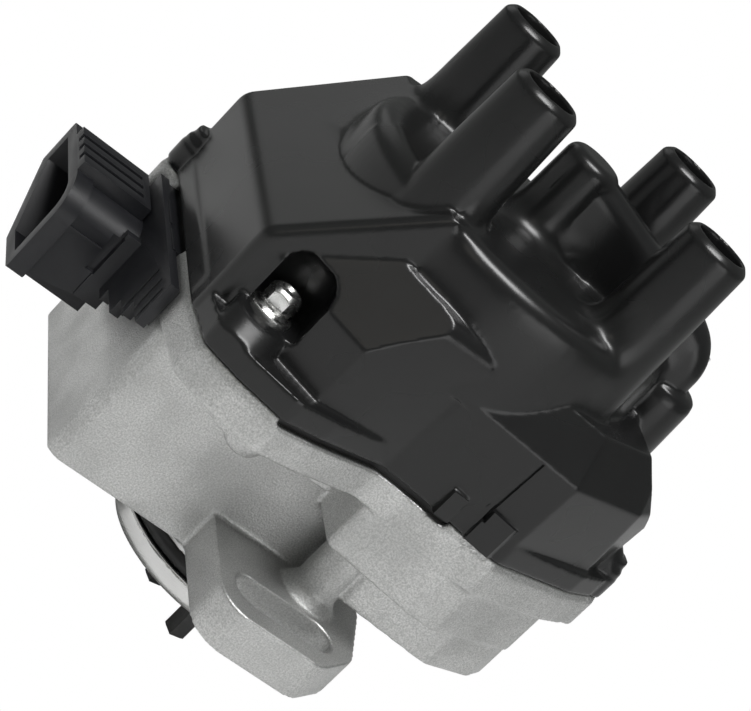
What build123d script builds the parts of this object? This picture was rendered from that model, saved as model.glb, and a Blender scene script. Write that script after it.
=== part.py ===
from build123d import *
import math
import os

# Ignition distributor with the ignition coil inside, for a four-cylinder engine.
# Origin on the shaft axis in the plane of the mounting face, +Z up to the cap, all sizes in millimetres.
# The connector points along -X and the slotted ear along -Y.

# ---------------------------------------------------------------- joint plane, cap and housing
RIM_TOP = 47.6
RIM_BOTTOM = 40.0
SEAL_THICKNESS = 1.8
SEAL_INSET = 1.9
SEAL_WIDTH = 2.0
LAND_INSET = 0.4
LAND_WIDTH = 1.3
LAND_LEFT = -33.5
LAND_RIGHT = 15.5
CAP_WALL = 3.0
HOUSING_WALL = 3.5
CAP_BASE = RIM_TOP + SEAL_THICKNESS
FLANGE_TOP = 55.0

# ---------------------------------------------------------------- shaft, bush and bearing
SHAFT_RADIUS = 5.0
SHAFT_TOP_RADIUS = 4.0
SHAFT_BOTTOM = -16.5
SHAFT_STEP = 56.0
SHAFT_TOP = 78.0
SHAFT_FLAT = 0.8
SHOULDER_RADIUS = 6.6
SHOULDER_LENGTH = 2.0
BUSH_WALL = 2.5
BUSH_TOP = 6.0
BUSH_BOTTOM = -10.0
RUNNING_CLEARANCE = 0.04
BEARING_RADIUS = 13.0
BEARING_WIDTH = 8.0
BEARING_BOTTOM = 29.0
RACE_THICKNESS = 2.2
BALL_RADIUS = 2.0
BALL_COUNT = 8
BALL_CLEARANCE = 0.05
CIRCLIP_THICKNESS = 1.2
CIRCLIP_GRIP = 1.0
CIRCLIP_WIDTH = 3.0
TUBE_RADIUS = 17.0
TUBE_TOP = 40.0

# ---------------------------------------------------------------- collar, O-ring and drive
COLLAR_RADIUS = 26.0
COLLAR_BOTTOM = -11.5
COLLAR_CHAMFER = 1.2
O_RING_SECTION = 1.9
O_RING_PLANE = -3.8
GROOVE_MARGIN = 0.2
WASHER_RADIUS = 11.0
WASHER_THICKNESS = 0.7
END_FLOAT = 0.1
COUPLING_RADIUS = 13.0
COUPLING_BOTTOM = -17.0
DOG_TIP = -26.5
DOG_WIDTH = 4.2
DOG_DEPTH = 4.0
DOG_CIRCLE = 8.7
DOG_OFFSET = 1.9
DOG_ANGLE = -72.0
PIN_RADIUS = 1.5

# ---------------------------------------------------------------- mounting ear
EAR_THICKNESS = 10.5
EAR_LEFT = -15.5
EAR_RIGHT = 20.5
EAR_FRONT = -54.6
EAR_CORNER = 8.0
SLOT_LENGTH = 27.5
SLOT_WIDTH = 10.5
SLOT_X = 2.8
SLOT_Y = -42.7
COLUMN_X = 10.9
COLUMN_Y = -28.5
COLUMN_RADIUS = 5.5
COLUMN_FOOT = 7.5
PAD_BOTTOM = 27.0

# ---------------------------------------------------------------- housing body
BOX_LEFT = -54.2
BOX_FRONT = -21.0
BOX_BACK = 43.0
BOX_RIGHT = 20.0
BOX_CORNER = 3.5
BOX_FLOOR = 4.0
PLATE_RADIUS = 33.0
COIL_CHAMBER_BOTTOM = 16.0
COIL_CHAMBER_LEFT = 33.0
COIL_CHAMBER_FLOOR = 3.0
DISC_POCKET_RADIUS = 33.0
DISC_POCKET_FLOOR = 43.0
LUG_RADIUS = 5.6
RIM_LEFT = -56.3
SCREW_PLACES = [(-43.5, -30.5), (62.5, 8.0), (-34.0, 48.0)]
LOBES = [(61.0, -22.5), (-53.6, 40.3)]
LOBE_RADIUS = 5.4
LOBE_TOP = 60.0

# ---------------------------------------------------------------- cap forms
DRUM_RADIUS = 43.4
DRUM_TOP = 100.0
DRUM_EDGE = 5.0
CAP_BOX_LEFT = -56.0
CAP_BOX_FRONT = -29.5
CAP_BOX_TURN = 8.1
CAP_BOX_BACK = 42.0
CAP_BOX_EAVE = 73.0
EAVE_ROUNDING = 5.5
FRONT_WALL_SHARE = 1.6
ROOF_ANGLE = 46.3
CHAMBER_TOP = 86.5
CHAMBER_EDGE = 4.5
FACET_CORNER = (-28.8, -45.8)
FACET_BOTTOM = 70.3
FACET_TURN = -35.2
FACET_TILT = 28.9
VALLEY_LEAN = 0.15
VALLEY_FOOT = (-3.0, -38.0)
VALLEY_HEAD = (-4.5, -44.4)
BOX_FACET_LEFT = -50.5
VALLEY_TOP = 73.2
PARTING_X = 18.6
LEDGE_RIGHT = 26.0
LEDGE_TOP = 58.5
TAB_LEFT = 10.0
TAB_RIGHT = 14.0
TAB_TOP = 56.5
COIL_WALL_TOP = 74.3
COIL_ROOF_TOP = 86.0
COIL_ROOF_SLOPE = 24.0
BOSS_RADIUS = 8.7
BOSS_TOP = 92.3
BOSS_BORE = 5.9
COIL_TOWER_X = 47.2
TOWER_CIRCLE = 34.85
TOWER_TURN = -9.2
TOWER_TIP = 130.2
TOWER_TIP_RADIUS = 8.2
TOWER_FOOT = 82.0
TOWER_DRAFT = 2.1
TOWER_CROWN = 1.5
TOWER_BORE = 6.1
TOWER_BORE_FLOOR = 108.0
POST_RADIUS = 7.15
POST_TOP = 121.7
POST_EDGE = 2.8
POST_FLARE = 6.0
RIDGE_WIDTH = 13.0
RIDGE_EDGE = 5.0
SCREW_BOSS_TOP = 59.5
SCREW_BOSS_RADIUS = 5.6
RECESS_RADIUS = 7.2
RECESS_TOP = 72.0

# ---------------------------------------------------------------- fasteners of the cap
CAP_SCREW_RADIUS = 2.5
CAP_SCREW_HEX = 7.3
CAP_SCREW_FLANGE = 5.15
CAP_SCREW_FLANGE_THICKNESS = 1.4
CAP_SCREW_HEAD = 5.2
CAP_SCREW_REACH = 9.0

# ---------------------------------------------------------------- high tension parts
ELECTRODE_RADIUS = 2.6
ELECTRODE_BOTTOM = 84.0
ELECTRODE_TOP = 101.0
TERMINAL_RADIUS = 4.4
TERMINAL_BORE = 3.2
TERMINAL_TOP = 121.0
TERMINAL_FLOOR = 104.0
BAR_BOTTOM = 103.0
BAR_THICKNESS = 2.0
BAR_WIDTH = 3.0
BAR_POST_RADIUS = 2.0
BAR_POST_BOTTOM = 90.5
BRUSH_RADIUS = 2.5
BRUSH_LENGTH = 8.0
BRUSH_CLEARANCE = 0.05
BRUSH_BOSS_RADIUS = 6.0
BRUSH_BOSS_BOTTOM = 89.5
SPRING_WIRE = 0.35
SPRING_TURNS = 6

# ---------------------------------------------------------------- rotor
ROTOR_TIP = 31.4
BLADE_TOP = 87.0
BLADE_THICKNESS = 1.2
BLADE_WIDTH = 8.0
ROTOR_HUB_RADIUS = 11.0
ROTOR_BOTTOM = 66.0
ROTOR_SKIRT_RADIUS = 24.0
ROTOR_SKIRT_BOTTOM = 79.0
ROTOR_SKIRT_THICKNESS = 3.0
ROTOR_ARM_WIDTH = 14.0
ROTOR_SCREW_HEIGHT = 71.0
ROTOR_SCREW_RADIUS = 1.5

# ---------------------------------------------------------------- timing disc, pick-up and dust shield
HUB_RADIUS = 9.0
DISC_RADIUS = 31.0
DISC_BOTTOM = 46.8
DISC_THICKNESS = 0.8
DISC_SLITS = 36
SLIT_INNER = 25.5
SLIT_OUTER = 29.5
SLIT_WIDTH = 1.6
WINDOW_RADIUS = 20.0
WINDOW_SIZE = 4.0
CLAMP_THICKNESS = 2.4
DISC_SCREW_CIRCLE = 7.1
DISC_SCREW_RADIUS = 1.0
PICKUP_WIDTH = 25.0
PICKUP_FRONT = 24.0
PICKUP_BACK = 38.5
PICKUP_BOTTOM = 38.0
PICKUP_TOP = 57.0
PICKUP_GAP = 4.0
PICKUP_SCREW_X = 9.5
PICKUP_SCREW_Y = 36.0
PILLAR_RADIUS = 3.0
SHIELD_RADIUS = 39.4
SHIELD_BOTTOM = 61.0
SHIELD_THICKNESS = 1.2
SHIELD_HOLE = 13.0
SHIELD_PILLAR_RADIUS = 2.6
SHIELD_PILLARS = [(23.5, 28.0), (-22.0, 29.1), (-18.3, -31.6), (18.3, -31.6)]
SMALL_SCREW = 1.5
SMALL_HEAD_RADIUS = 2.7
SMALL_HEAD = 1.9
SMALL_REACH = 6.0

# ---------------------------------------------------------------- ignition coil
COIL_LEFT = 38.0
COIL_RIGHT = 52.0
COIL_FRONT = -17.0
COIL_BACK = 21.0
COIL_BOTTOM = 20.5
COIL_TOP = 62.0
COIL_EDGE = 2.0
COIL_TOWER_RADIUS = 5.4
COIL_TOWER_TOP = 88.0
COIL_SOCKET_RADIUS = 2.7
COIL_SOCKET_FLOOR = 80.0
CORE_BOTTOM = 34.0
CORE_HEIGHT = 10.0
CORE_LIMB = 3.5
CORE_END = 6.5

# ---------------------------------------------------------------- igniter and condenser
HEAT_PLATE = (-50.0, -31.0, -16.0, 22.0)
HEAT_PLATE_THICKNESS = 2.5
IGNITER_HEIGHT = 10.0
IGNITER_MARGIN = 1.5
IGNITER_ENDS = 6.0
CONDENSER_X = -40.0
CONDENSER_Y = 31.2
CONDENSER_RADIUS = 6.5
CONDENSER_TOP = 25.0

# ---------------------------------------------------------------- connector
CONNECTOR_TIP = -79.0
CONNECTOR_FRONT = 11.0
CONNECTOR_BACK = 44.0
CONNECTOR_BOTTOM = 17.5
CONNECTOR_TOP = 40.5
CONNECTOR_ROUND = 8.0
COLLAR_STEP = 1.0
COLLAR_LENGTH = 4.5
KEY_FRONT = 19.5
KEY_BACK = 38.0
KEY_TOP = 44.0
KEY_END = -60.0
KEY_GROOVE = 1.8
KEY_GROOVES = 3
CONNECTOR_WALL = 2.2
CONNECTOR_FLOOR = -60.5
CONNECTOR_SLANT_Z = 30.0
CONNECTOR_SLANT_Y = 24.0
CONNECTOR_FLANGE_THICKNESS = 2.4
CONNECTOR_FLANGE_FRONT = -20.0
CONNECTOR_FLANGE_BACK = 33.6
NOTCH_FRONT = -2.0
NOTCH_BACK = 31.0
NOTCH_BOTTOM = 29.0
CONNECTOR_SEAL_THICKNESS = 0.8
CONNECTOR_INNER = -47.0
PIN_COUNT = 4
PIN_FIRST = 16.0
PIN_PITCH = 4.4
PIN_WIDTH = 2.2
PIN_THICKNESS = 0.8
PIN_TIP = -74.0
PIN_END = -44.0

OPEN_END = 1.0


# ---------------------------------------------------------------- helpers
def rod(radius, z0, z1, x=0.0, y=0.0):
    """Upright cylinder between two heights."""
    return Pos(x, y, z0) * Cylinder(radius, z1 - z0, align=(Align.CENTER, Align.CENTER, Align.MIN))

# ---------------------------------------------------------------- corners of the cast and moulded plans
COIL_BOX_FRONT = [(14.0, -33.5), (40.0, -36.4), (54.5, -29.2), (60.2, -23.0)]
COIL_BOX_CORNERS = COIL_BOX_FRONT + [(60.2, 28.0), (50.0, 35.0), (14.0, 38.0)]
PAD_CORNERS = [(0.5, -20.0), (0.5, -37.7), (23.0, -43.6), (31.0, -43.6), (56.5, -29.5), (60.5, -20.0)]
COIL_ROOM_CORNERS = [(50.5, -28.6), (58.2, -23.4), (58.2, 27.0), (49.5, 32.0)]
RIM_KNOBS = [(-37.0, -38.5), (-11.0, -33.5)]
RIM_KNOB_RADIUS = 5.0
RIM_KNOB_BOTTOM = 37.0
CHAMBER_INNER = (-27.0, -29.5)
CHAMBER_BACK = 20.0
MARK_BACK = -40.0
LEDGE_FRONT = (-43.8, -45.6)
TAB_FRONT = -43.2
PARTING_WIDTH = 0.9
PARTING_FLOOR = -42.4
VALLEY_LINE = [(-26.0, -44.5), (-3.6, -37.6), (6.0, -38.0), (22.0, -40.0)]
COIL_HEAD_FRONT = [(-3.7, -43.1), (18.1, -46.2), (27.8, -47.4), (50.5, -36.0), (60.0, -26.5)]
COIL_RIGHT_SLOPE = [(61, 68.5), (57.5, 72.5)]
RIDGE_CREST = [(0, 120.6), (6, 120.4), (24.6, 116.1)]
RIDGE_BEND = [(42.1, 111.1), (49.2, 106.6), (52.0, 98.5)]
RIDGE_FOOT = (40, 91)
FLANGE_STEPS = [(-11.0, 36.0), (-11.0, 32.0), (-4.5, 32.0), (-4.5, 28.0), (6.0, 28.0), (6.0, 25.0)]



def ring(outer, inner, z0, z1):
    """Upright tube on the shaft axis."""
    return rod(outer, z0, z1) - rod(inner, z0, z1)


def block(x0, x1, y0, y1, z0, z1):
    """Box between two corners."""
    return Pos(x0, y0, z0) * Box(x1 - x0, y1 - y0, z1 - z0, align=(Align.MIN, Align.MIN, Align.MIN))


def outline(points, radius=0.0):
    """Closed plan outline with every corner rounded by the same radius."""
    face = Polygon(*points, align=None)
    return fillet(face.vertices(), radius) if radius else face


def prism(face, z0, z1):
    """Plan outline pulled up between two heights."""
    return extrude(Pos(0, 0, z0) * face, z1 - z0)


def side_prism(points, y0, y1):
    """Outline in X and Z pulled along Y between two places."""
    return extrude(Plane.XZ.offset(-y1) * Polygon(*points, align=None), y1 - y0)


def round_edges(solid, axis, radius):
    """Fillet every edge that runs along one axis."""
    return fillet(solid.edges().filter_by(axis), radius)


def tower_places():
    """Centres of the four plug towers."""
    for index in range(4):
        angle = math.radians(TOWER_TURN + 45 + 90 * index)
        yield TOWER_CIRCLE * math.cos(angle), TOWER_CIRCLE * math.sin(angle)


def ridge_frame():
    """Turn that carries the X axis on to the ridge between centre post and coil boss."""
    return Rot(0, 0, TOWER_TURN)


def small_screw(x, y, seat, reach=SMALL_REACH):
    """Pan-head screw standing on a seat."""
    return rod(SMALL_SCREW, seat - reach, seat, x, y) + rod(SMALL_HEAD_RADIUS, seat, seat + SMALL_HEAD, x, y)


def small_hole(x, y, z0, z1):
    """Hole that a small screw fills."""
    return rod(SMALL_SCREW, z0, z1, x, y)


# ---------------------------------------------------------------- plan outlines
def rim_outline(inset=0.0):
    """Outer edge of the joint between cap and housing."""
    edge = outline(
        [
            (RIM_LEFT, 45.0),
            (RIM_LEFT, -22.0),
            (-53.6, -40.5),
            (-44.8, -46.2),
            (-33.0, -50.4),
            (-22.1, -46.7),
            (-3.6, -38.4),
            (6.0, -39.2),
            (17.5, -42.6),
            (28.5, -45.4),
            (53.5, -34.2),
            (62.5, -28.0),
            (62.5, 34.0),
            (48.0, 45.0),
            (0.0, 48.0),
        ],
        4.0,
    )
    for x, y in SCREW_PLACES:
        edge += Pos(x, y) * Circle(LUG_RADIUS)
    for x, y in LOBES:
        edge += Pos(x, y) * Circle(LOBE_RADIUS)
    return offset(edge, -inset) if inset else edge


def coil_chamber_outline(inset=0.0):
    """Plan of the coil chamber walls in the cap."""
    face = outline(
        [
            (-3.0, 36.0),
            VALLEY_FOOT,
            (17.5, -42.2),
            (28.5, -44.8),
            (55.0, -31.0),
            (60.0, -24.0),
            (60.0, 27.0),
            (50.0, 36.0),
        ]
    )
    return offset(face, -inset, kind=Kind.INTERSECTION) if inset else face


# ---------------------------------------------------------------- housing
def housing_outside():
    """Outer form of the die casting above the mounting face."""
    lower_box = prism(
        outline(
            [
                (BOX_LEFT, BOX_BACK),
                (BOX_LEFT, BOX_FRONT),
                (9.0, BOX_FRONT),
                (BOX_RIGHT, -14.0),
                (BOX_RIGHT, 36.0),
                (15.0, BOX_BACK),
            ],
            BOX_CORNER,
        ),
        0,
        RIM_BOTTOM,
    )
    coil_box = prism(
        outline(COIL_BOX_CORNERS, 3.0),
        COIL_CHAMBER_BOTTOM,
        RIM_BOTTOM,
    )
    pad = prism(
        outline(PAD_CORNERS, 2.0),
        PAD_BOTTOM,
        RIM_BOTTOM,
    )
    rim = prism(rim_outline(), RIM_BOTTOM, RIM_TOP)
    return lower_box + coil_box + pad + rim


def ear():
    """Mounting ear with its slot, and the round plate over the collar."""
    plan = outline(
        [
            (EAR_LEFT, -10.0),
            (EAR_LEFT, EAR_FRONT),
            (EAR_RIGHT - 8.0, EAR_FRONT),
            (EAR_RIGHT + 2.0, -44.0),
            (27.0, -24.0),
            (27.0, -10.0),
        ],
        EAR_CORNER,
    )
    plate = prism(plan, 0, EAR_THICKNESS) + rod(PLATE_RADIUS, 0, EAR_THICKNESS)
    plate -= block(-PLATE_RADIUS, EAR_LEFT, -PLATE_RADIUS, BOX_FRONT, 0, EAR_THICKNESS)
    column = rod(COLUMN_RADIUS, EAR_THICKNESS, PAD_BOTTOM, COLUMN_X, COLUMN_Y)
    foot = Pos(COLUMN_X, COLUMN_Y, EAR_THICKNESS) * Cone(
        COLUMN_FOOT, COLUMN_RADIUS, 3.0, align=(Align.CENTER, Align.CENTER, Align.MIN)
    )
    slot = prism(Pos(SLOT_X, SLOT_Y) * SlotOverall(SLOT_LENGTH, SLOT_WIDTH), 0, EAR_THICKNESS)
    return plate + column + foot - slot


def collar():
    """Spigot below the mounting face, with the O-ring groove."""
    body = rod(COLLAR_RADIUS, COLLAR_BOTTOM, 0)
    body = chamfer(body.edges().sort_by(Axis.Z)[0], COLLAR_CHAMFER)
    half_groove = O_RING_SECTION + GROOVE_MARGIN
    floor = COLLAR_RADIUS - 2 * O_RING_SECTION
    return body - ring(COLLAR_RADIUS + OPEN_END, floor, O_RING_PLANE - half_groove, O_RING_PLANE + half_groove)


def housing_cavity():
    """Rooms for the shaft gear, the electronics and the coil."""
    top = RIM_TOP + OPEN_END
    box_room = prism(
        outline(
            [
                (BOX_LEFT + HOUSING_WALL, BOX_BACK - HOUSING_WALL),
                (BOX_LEFT + HOUSING_WALL, BOX_FRONT + HOUSING_WALL),
                (8.0, BOX_FRONT + HOUSING_WALL),
                (BOX_RIGHT - HOUSING_WALL, -12.0),
                (BOX_RIGHT - HOUSING_WALL, 34.5),
                (14.6, BOX_BACK - HOUSING_WALL),
            ],
            2.5,
        ),
        BOX_FLOOR,
        top,
    )
    box_room -= rod(TUBE_RADIUS, BOX_FLOOR, TUBE_TOP)
    coil_room = prism(
        outline([(COIL_CHAMBER_LEFT, -28.6), *COIL_ROOM_CORNERS, (COIL_CHAMBER_LEFT, 32.0)], 2.0),
        COIL_CHAMBER_BOTTOM + COIL_CHAMBER_FLOOR,
        top,
    )
    disc_room = rod(DISC_POCKET_RADIUS, DISC_POCKET_FLOOR, top)
    passage = block(0, COIL_CHAMBER_LEFT + OPEN_END, -17.0, 30.0, DISC_POCKET_FLOOR, top)
    return box_room + coil_room + disc_room + passage


def pillars():
    """Posts inside the housing that carry the pick-up, the dust shield and the coil."""
    posts = Part()
    for x in (-PICKUP_SCREW_X, PICKUP_SCREW_X):
        posts += rod(PILLAR_RADIUS, BOX_FLOOR, PICKUP_BOTTOM, x, PICKUP_SCREW_Y)
    for index, (x, y) in enumerate(SHIELD_PILLARS):
        foot = BOX_FLOOR if index == 1 else DISC_POCKET_FLOOR - 1
        posts += rod(SHIELD_PILLAR_RADIUS, foot, SHIELD_BOTTOM, x, y)
    for x, y in coil_screw_places():
        posts += rod(PILLAR_RADIUS, COIL_CHAMBER_BOTTOM + 1, CORE_BOTTOM, x, y)
    return posts


def shaft_bores():
    """Seats for bush, bearing and circlip, and the free bore between them."""
    circlip_bottom = BEARING_BOTTOM + BEARING_WIDTH
    bores = rod(SHAFT_RADIUS + BUSH_WALL, COLLAR_BOTTOM, BUSH_TOP)
    bores += rod(SHOULDER_RADIUS + 2.5, BUSH_TOP, BEARING_BOTTOM)
    bores += rod(BEARING_RADIUS, BEARING_BOTTOM, TUBE_TOP)
    bores += rod(BEARING_RADIUS + CIRCLIP_GRIP, circlip_bottom, circlip_bottom + CIRCLIP_THICKNESS)
    return bores


def housing():
    """Die-cast housing."""
    body = housing_outside() + ear() + collar() + lands()
    for x, y in RIM_KNOBS:
        body += rod(RIM_KNOB_RADIUS, RIM_KNOB_BOTTOM, RIM_BOTTOM, x, y)
    body -= housing_cavity()
    body += pillars()
    body -= shaft_bores()
    body -= connector_notch()
    for x, y in SCREW_PLACES:
        body -= rod(CAP_SCREW_RADIUS, screw_bottom(), RIM_TOP, x, y)
    for x, y, seat in small_screw_places():
        body -= small_hole(x, y, seat - SMALL_REACH, seat)
    return body


def connector_notch():
    """Open-topped notch in the left wall that the connector drops into."""
    left = BOX_LEFT - HOUSING_WALL
    return block(left, BOX_LEFT + HOUSING_WALL, NOTCH_FRONT, NOTCH_BACK, NOTCH_BOTTOM, CAP_BASE)


def lands():
    """Raised strips at both ends of the rim on which the cap sits metal to plastic."""
    strip = rim_outline(LAND_INSET) - rim_outline(LAND_INSET + LAND_WIDTH)
    strips = prism(strip, RIM_TOP, CAP_BASE)
    return strips - block(LAND_LEFT, LAND_RIGHT, -60, 60, RIM_TOP, CAP_BASE)


def small_screw_places():
    """Small screws that enter the housing, each with the height of its seat in the metal."""
    places = [(x, y, SHIELD_BOTTOM) for x, y in SHIELD_PILLARS]
    places += [(x, PICKUP_SCREW_Y, PICKUP_BOTTOM) for x in (-PICKUP_SCREW_X, PICKUP_SCREW_X)]
    places += [(x, y, CORE_BOTTOM) for x, y in coil_screw_places()]
    return places


def coil_screw_places():
    """Two opposite corners of the coil core."""
    middle = (COIL_LEFT + COIL_RIGHT) / 2
    return [(middle, COIL_FRONT - CORE_END / 2), (middle, COIL_BACK + CORE_END / 2)]


def screw_bottom():
    """Lowest point of the cap screws."""
    return RIM_TOP - CAP_SCREW_REACH


# ---------------------------------------------------------------- cap
def drum(inset=0.0):
    """Round room over the rotor."""
    top = DRUM_TOP - inset
    solid = rod(DRUM_RADIUS - inset, CAP_BASE, top)
    if inset:
        return solid
    return fillet(solid.edges().sort_by(Axis.Z)[-1], DRUM_EDGE)


def cap_box(inset=0.0):
    """Box with the slanted roof over the electronics."""
    roof_run = (DRUM_TOP - CAP_BOX_EAVE) / math.tan(math.radians(ROOF_ANGLE))
    slant = inset / math.cos(math.radians(ROOF_ANGLE))
    left = CAP_BOX_LEFT + inset
    eave = CAP_BOX_EAVE - slant + inset * math.tan(math.radians(ROOF_ANGLE))
    top = DRUM_TOP - inset
    ridge_x = CAP_BOX_LEFT + roof_run + (slant - inset) / math.tan(math.radians(ROOF_ANGLE))
    solid = side_prism(
        [(left, CAP_BASE), (0, CAP_BASE), (0, top), (ridge_x, top), (left, eave)],
        CAP_BOX_FRONT - 2 * BOX_CORNER,
        CAP_BOX_BACK - inset,
    )
    front = Location((CAP_BOX_LEFT, CAP_BOX_FRONT + inset * FRONT_WALL_SHARE, 0), (0, 0, -CAP_BOX_TURN))
    solid -= front * Box(200, 40, 300, align=(Align.CENTER, Align.MAX, Align.CENTER))
    if inset:
        return solid
    long_edges = solid.edges().filter_by(Axis.Y)
    eave_edge = [e for e in long_edges if abs(e.center().X - left) < 0.1 and e.center().Z > CAP_BASE + 1]
    solid = fillet(eave_edge, EAVE_ROUNDING)
    return fillet(solid.edges().filter_by(Axis.Z).sort_by(Axis.X)[:2], 2.5)


def lower_chamber():
    """Faceted shoulder under the drum at the front left, beside the front cap screw."""
    corner_x, corner_y = FACET_CORNER
    reach = corner_x - BOX_FACET_LEFT
    left_y = corner_y - reach * math.tan(math.radians(FACET_TURN))
    left = [(CHAMBER_INNER[0], CHAMBER_BACK), CHAMBER_INNER]
    left += [(BOX_FACET_LEFT, left_y + 2.0), (BOX_FACET_LEFT, left_y)]
    foot = Polygon(*left, FACET_CORNER, VALLEY_FOOT, (VALLEY_FOOT[0], CHAMBER_BACK), align=None)
    head = Polygon(*left, FACET_CORNER, VALLEY_HEAD, (VALLEY_HEAD[0], CHAMBER_BACK), align=None)
    solid = loft([Pos(0, 0, CAP_BASE) * foot, Pos(0, 0, CHAMBER_TOP) * head], ruled=True)
    front = [e for e in solid.edges() if e.center().Z > CHAMBER_TOP - 0.1 and e.center().Y < -43]
    solid = fillet(front, CHAMBER_EDGE)
    facet = Location((corner_x, corner_y, FACET_BOTTOM), (0, 0, FACET_TURN)) * Rot(-FACET_TILT, 0, 0)
    return solid - facet * Box(90, 40, 90, align=(Align.CENTER, Align.MAX, Align.CENTER))


def front_marks():
    """Tab and ledge on the front wall of the coil chamber, over the joint."""
    left, right = LEDGE_FRONT
    ledge = outline([(PARTING_X, MARK_BACK), (PARTING_X, left), (LEDGE_RIGHT, right), (LEDGE_RIGHT, MARK_BACK)])
    return [
        block(TAB_LEFT, TAB_RIGHT, TAB_FRONT, MARK_BACK + 2.0, CAP_BASE, TAB_TOP),
        prism(ledge, CAP_BASE, LEDGE_TOP),
    ]


def parting_groove():
    """Upright groove in the front wall of the coil chamber."""
    left = PARTING_X - PARTING_WIDTH
    face = Polygon(
        (left, PARTING_FLOOR), (PARTING_X, PARTING_FLOOR), (PARTING_X, -60.0), (left, -60.0), align=None
    )
    return extrude(Pos(0, 0, FLANGE_TOP) * face, COIL_WALL_TOP - FLANGE_TOP, dir=(0, -VALLEY_LEAN, 1))


def front_valley():
    """Room left free under the drum in front of the two chambers."""
    left, right = VALLEY_LINE[0][0], VALLEY_LINE[-1][0]
    face = Polygon(*VALLEY_LINE, (right, -62.0), (left, -62.0), align=None)
    return extrude(Pos(0, 0, CAP_BASE) * face, VALLEY_TOP - CAP_BASE, dir=(0, -VALLEY_LEAN, 1))


def coil_chamber_head():
    """Plan of the coil chamber at the top of its walls."""
    return Polygon((-3.0, 36.0), *COIL_HEAD_FRONT, (60.0, 27.0), (50.0, 36.0), align=None)


def coil_chamber(inset=0.0):
    """Room over the coil, with a sloping shoulder round its top."""
    face = coil_chamber_outline(inset)
    walls = prism(face, CAP_BASE, COIL_WALL_TOP - inset / 2)
    if not inset:
        head = coil_chamber_head()
        walls = loft([Pos(0, 0, CAP_BASE) * face, Pos(0, 0, COIL_WALL_TOP) * head], ruled=True)
        face = head
    rise = COIL_ROOF_TOP - COIL_WALL_TOP - inset / 2
    shoulder = extrude(Pos(0, 0, COIL_WALL_TOP - inset / 2) * face, rise, taper=COIL_ROOF_SLOPE)
    solid = walls + shoulder
    top = COIL_ROOF_TOP - inset
    slope = [(x, z - inset) for x, z in COIL_RIGHT_SLOPE]
    right_slope = side_prism([(-5, CAP_BASE), (61, CAP_BASE), *slope, (43.0, top), (-5, top)], -60, 60)
    return solid & right_slope


def coil_boss():
    """Boss round the coil's high-tension tower."""
    x, y = coil_tower_place()
    solid = Pos(x, y, 60) * Cone(
        BOSS_RADIUS + 0.6, BOSS_RADIUS - 0.7, BOSS_TOP - 60, align=(Align.CENTER, Align.CENTER, Align.MIN)
    )
    return fillet(solid.edges().sort_by(Axis.Z)[-1], 1.5)


def coil_tower_place():
    """Centre of the coil's high-tension tower, on the line of the ridge."""
    turn = math.radians(TOWER_TURN)
    return COIL_TOWER_X, COIL_TOWER_X * math.tan(turn)


def ridge():
    """Ridge that carries the conductor from the coil boss to the centre post."""
    bend, middle, end = RIDGE_BEND
    inner_x, foot_z = RIDGE_FOOT
    profile = Polyline((0, DRUM_TOP - 2), *RIDGE_CREST, bend)
    profile += ThreePointArc(bend, middle, end)
    profile += Polyline(end, (52.2, foot_z), (inner_x, foot_z), (inner_x, DRUM_TOP - 2), (0, DRUM_TOP - 2))
    face = Plane.XZ.offset(-RIDGE_WIDTH / 2) * make_face(profile)
    solid = extrude(face, RIDGE_WIDTH)
    sides = [e for e in solid.edges() if abs(abs(e.center().Y) - RIDGE_WIDTH / 2) < 0.1]
    crest = [e for e in sides if e.center().Z > 99 and 1 < e.center().X < 51.8]
    return ridge_frame() * fillet(crest, RIDGE_EDGE)


def post():
    """Centre post with its flared foot."""
    foot_radius = POST_RADIUS + POST_FLARE
    lines = Polyline((0, DRUM_TOP - 2), (foot_radius, DRUM_TOP - 2), (foot_radius, DRUM_TOP))
    lines += RadiusArc((foot_radius, DRUM_TOP), (POST_RADIUS + 0.3, DRUM_TOP + POST_FLARE), POST_FLARE)
    neck = (POST_RADIUS + 0.3, DRUM_TOP + POST_FLARE)
    lines += Polyline(neck, (POST_RADIUS, POST_TOP), (0, POST_TOP), (0, DRUM_TOP - 2))
    solid = revolve(Plane.XZ * make_face(lines), Axis.Z)
    return fillet(solid.edges().sort_by(Axis.Z)[-1], POST_EDGE)


def tower():
    """One plug tower, solid, standing on the origin."""
    height = TOWER_TIP - TOWER_FOOT
    foot_radius = TOWER_TIP_RADIUS + height * math.tan(math.radians(TOWER_DRAFT))
    stand = (Align.CENTER, Align.CENTER, Align.MIN)
    solid = Pos(0, 0, TOWER_FOOT) * Cone(foot_radius, TOWER_TIP_RADIUS, height, align=stand)
    return chamfer(solid.edges().sort_by(Axis.Z)[-1], TOWER_CROWN)


def cap_outside():
    """Outer form of the moulded cap."""
    body = drum() + [Pos(x, y) * tower() for x, y in tower_places()]
    body -= front_valley()
    body += lower_chamber()
    for form in (prism(rim_outline(), CAP_BASE, FLANGE_TOP), cap_box(), coil_chamber(), coil_boss()):
        body += form
    body += front_marks()
    body -= parting_groove()
    body += [rod(SCREW_BOSS_RADIUS, CAP_BASE, SCREW_BOSS_TOP, x, y) for x, y in SCREW_PLACES]
    body += [rod(LOBE_RADIUS - 1.0, CAP_BASE, LOBE_TOP, x, y) for x, y in LOBES]
    return body + ridge() + post()


def screw_niche(x, y, thicker=0.0):
    """Niche with a sloping crown that gives room to a cap screw, or the same with its wall."""
    radius = RECESS_RADIUS + thicker
    bottom = CAP_BASE if thicker else SCREW_BOSS_TOP
    niche = rod(radius, bottom, RECESS_TOP + thicker, x, y)
    return chamfer(niche.edges().sort_by(Axis.Z)[-1], RECESS_RADIUS / 2)


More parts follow.
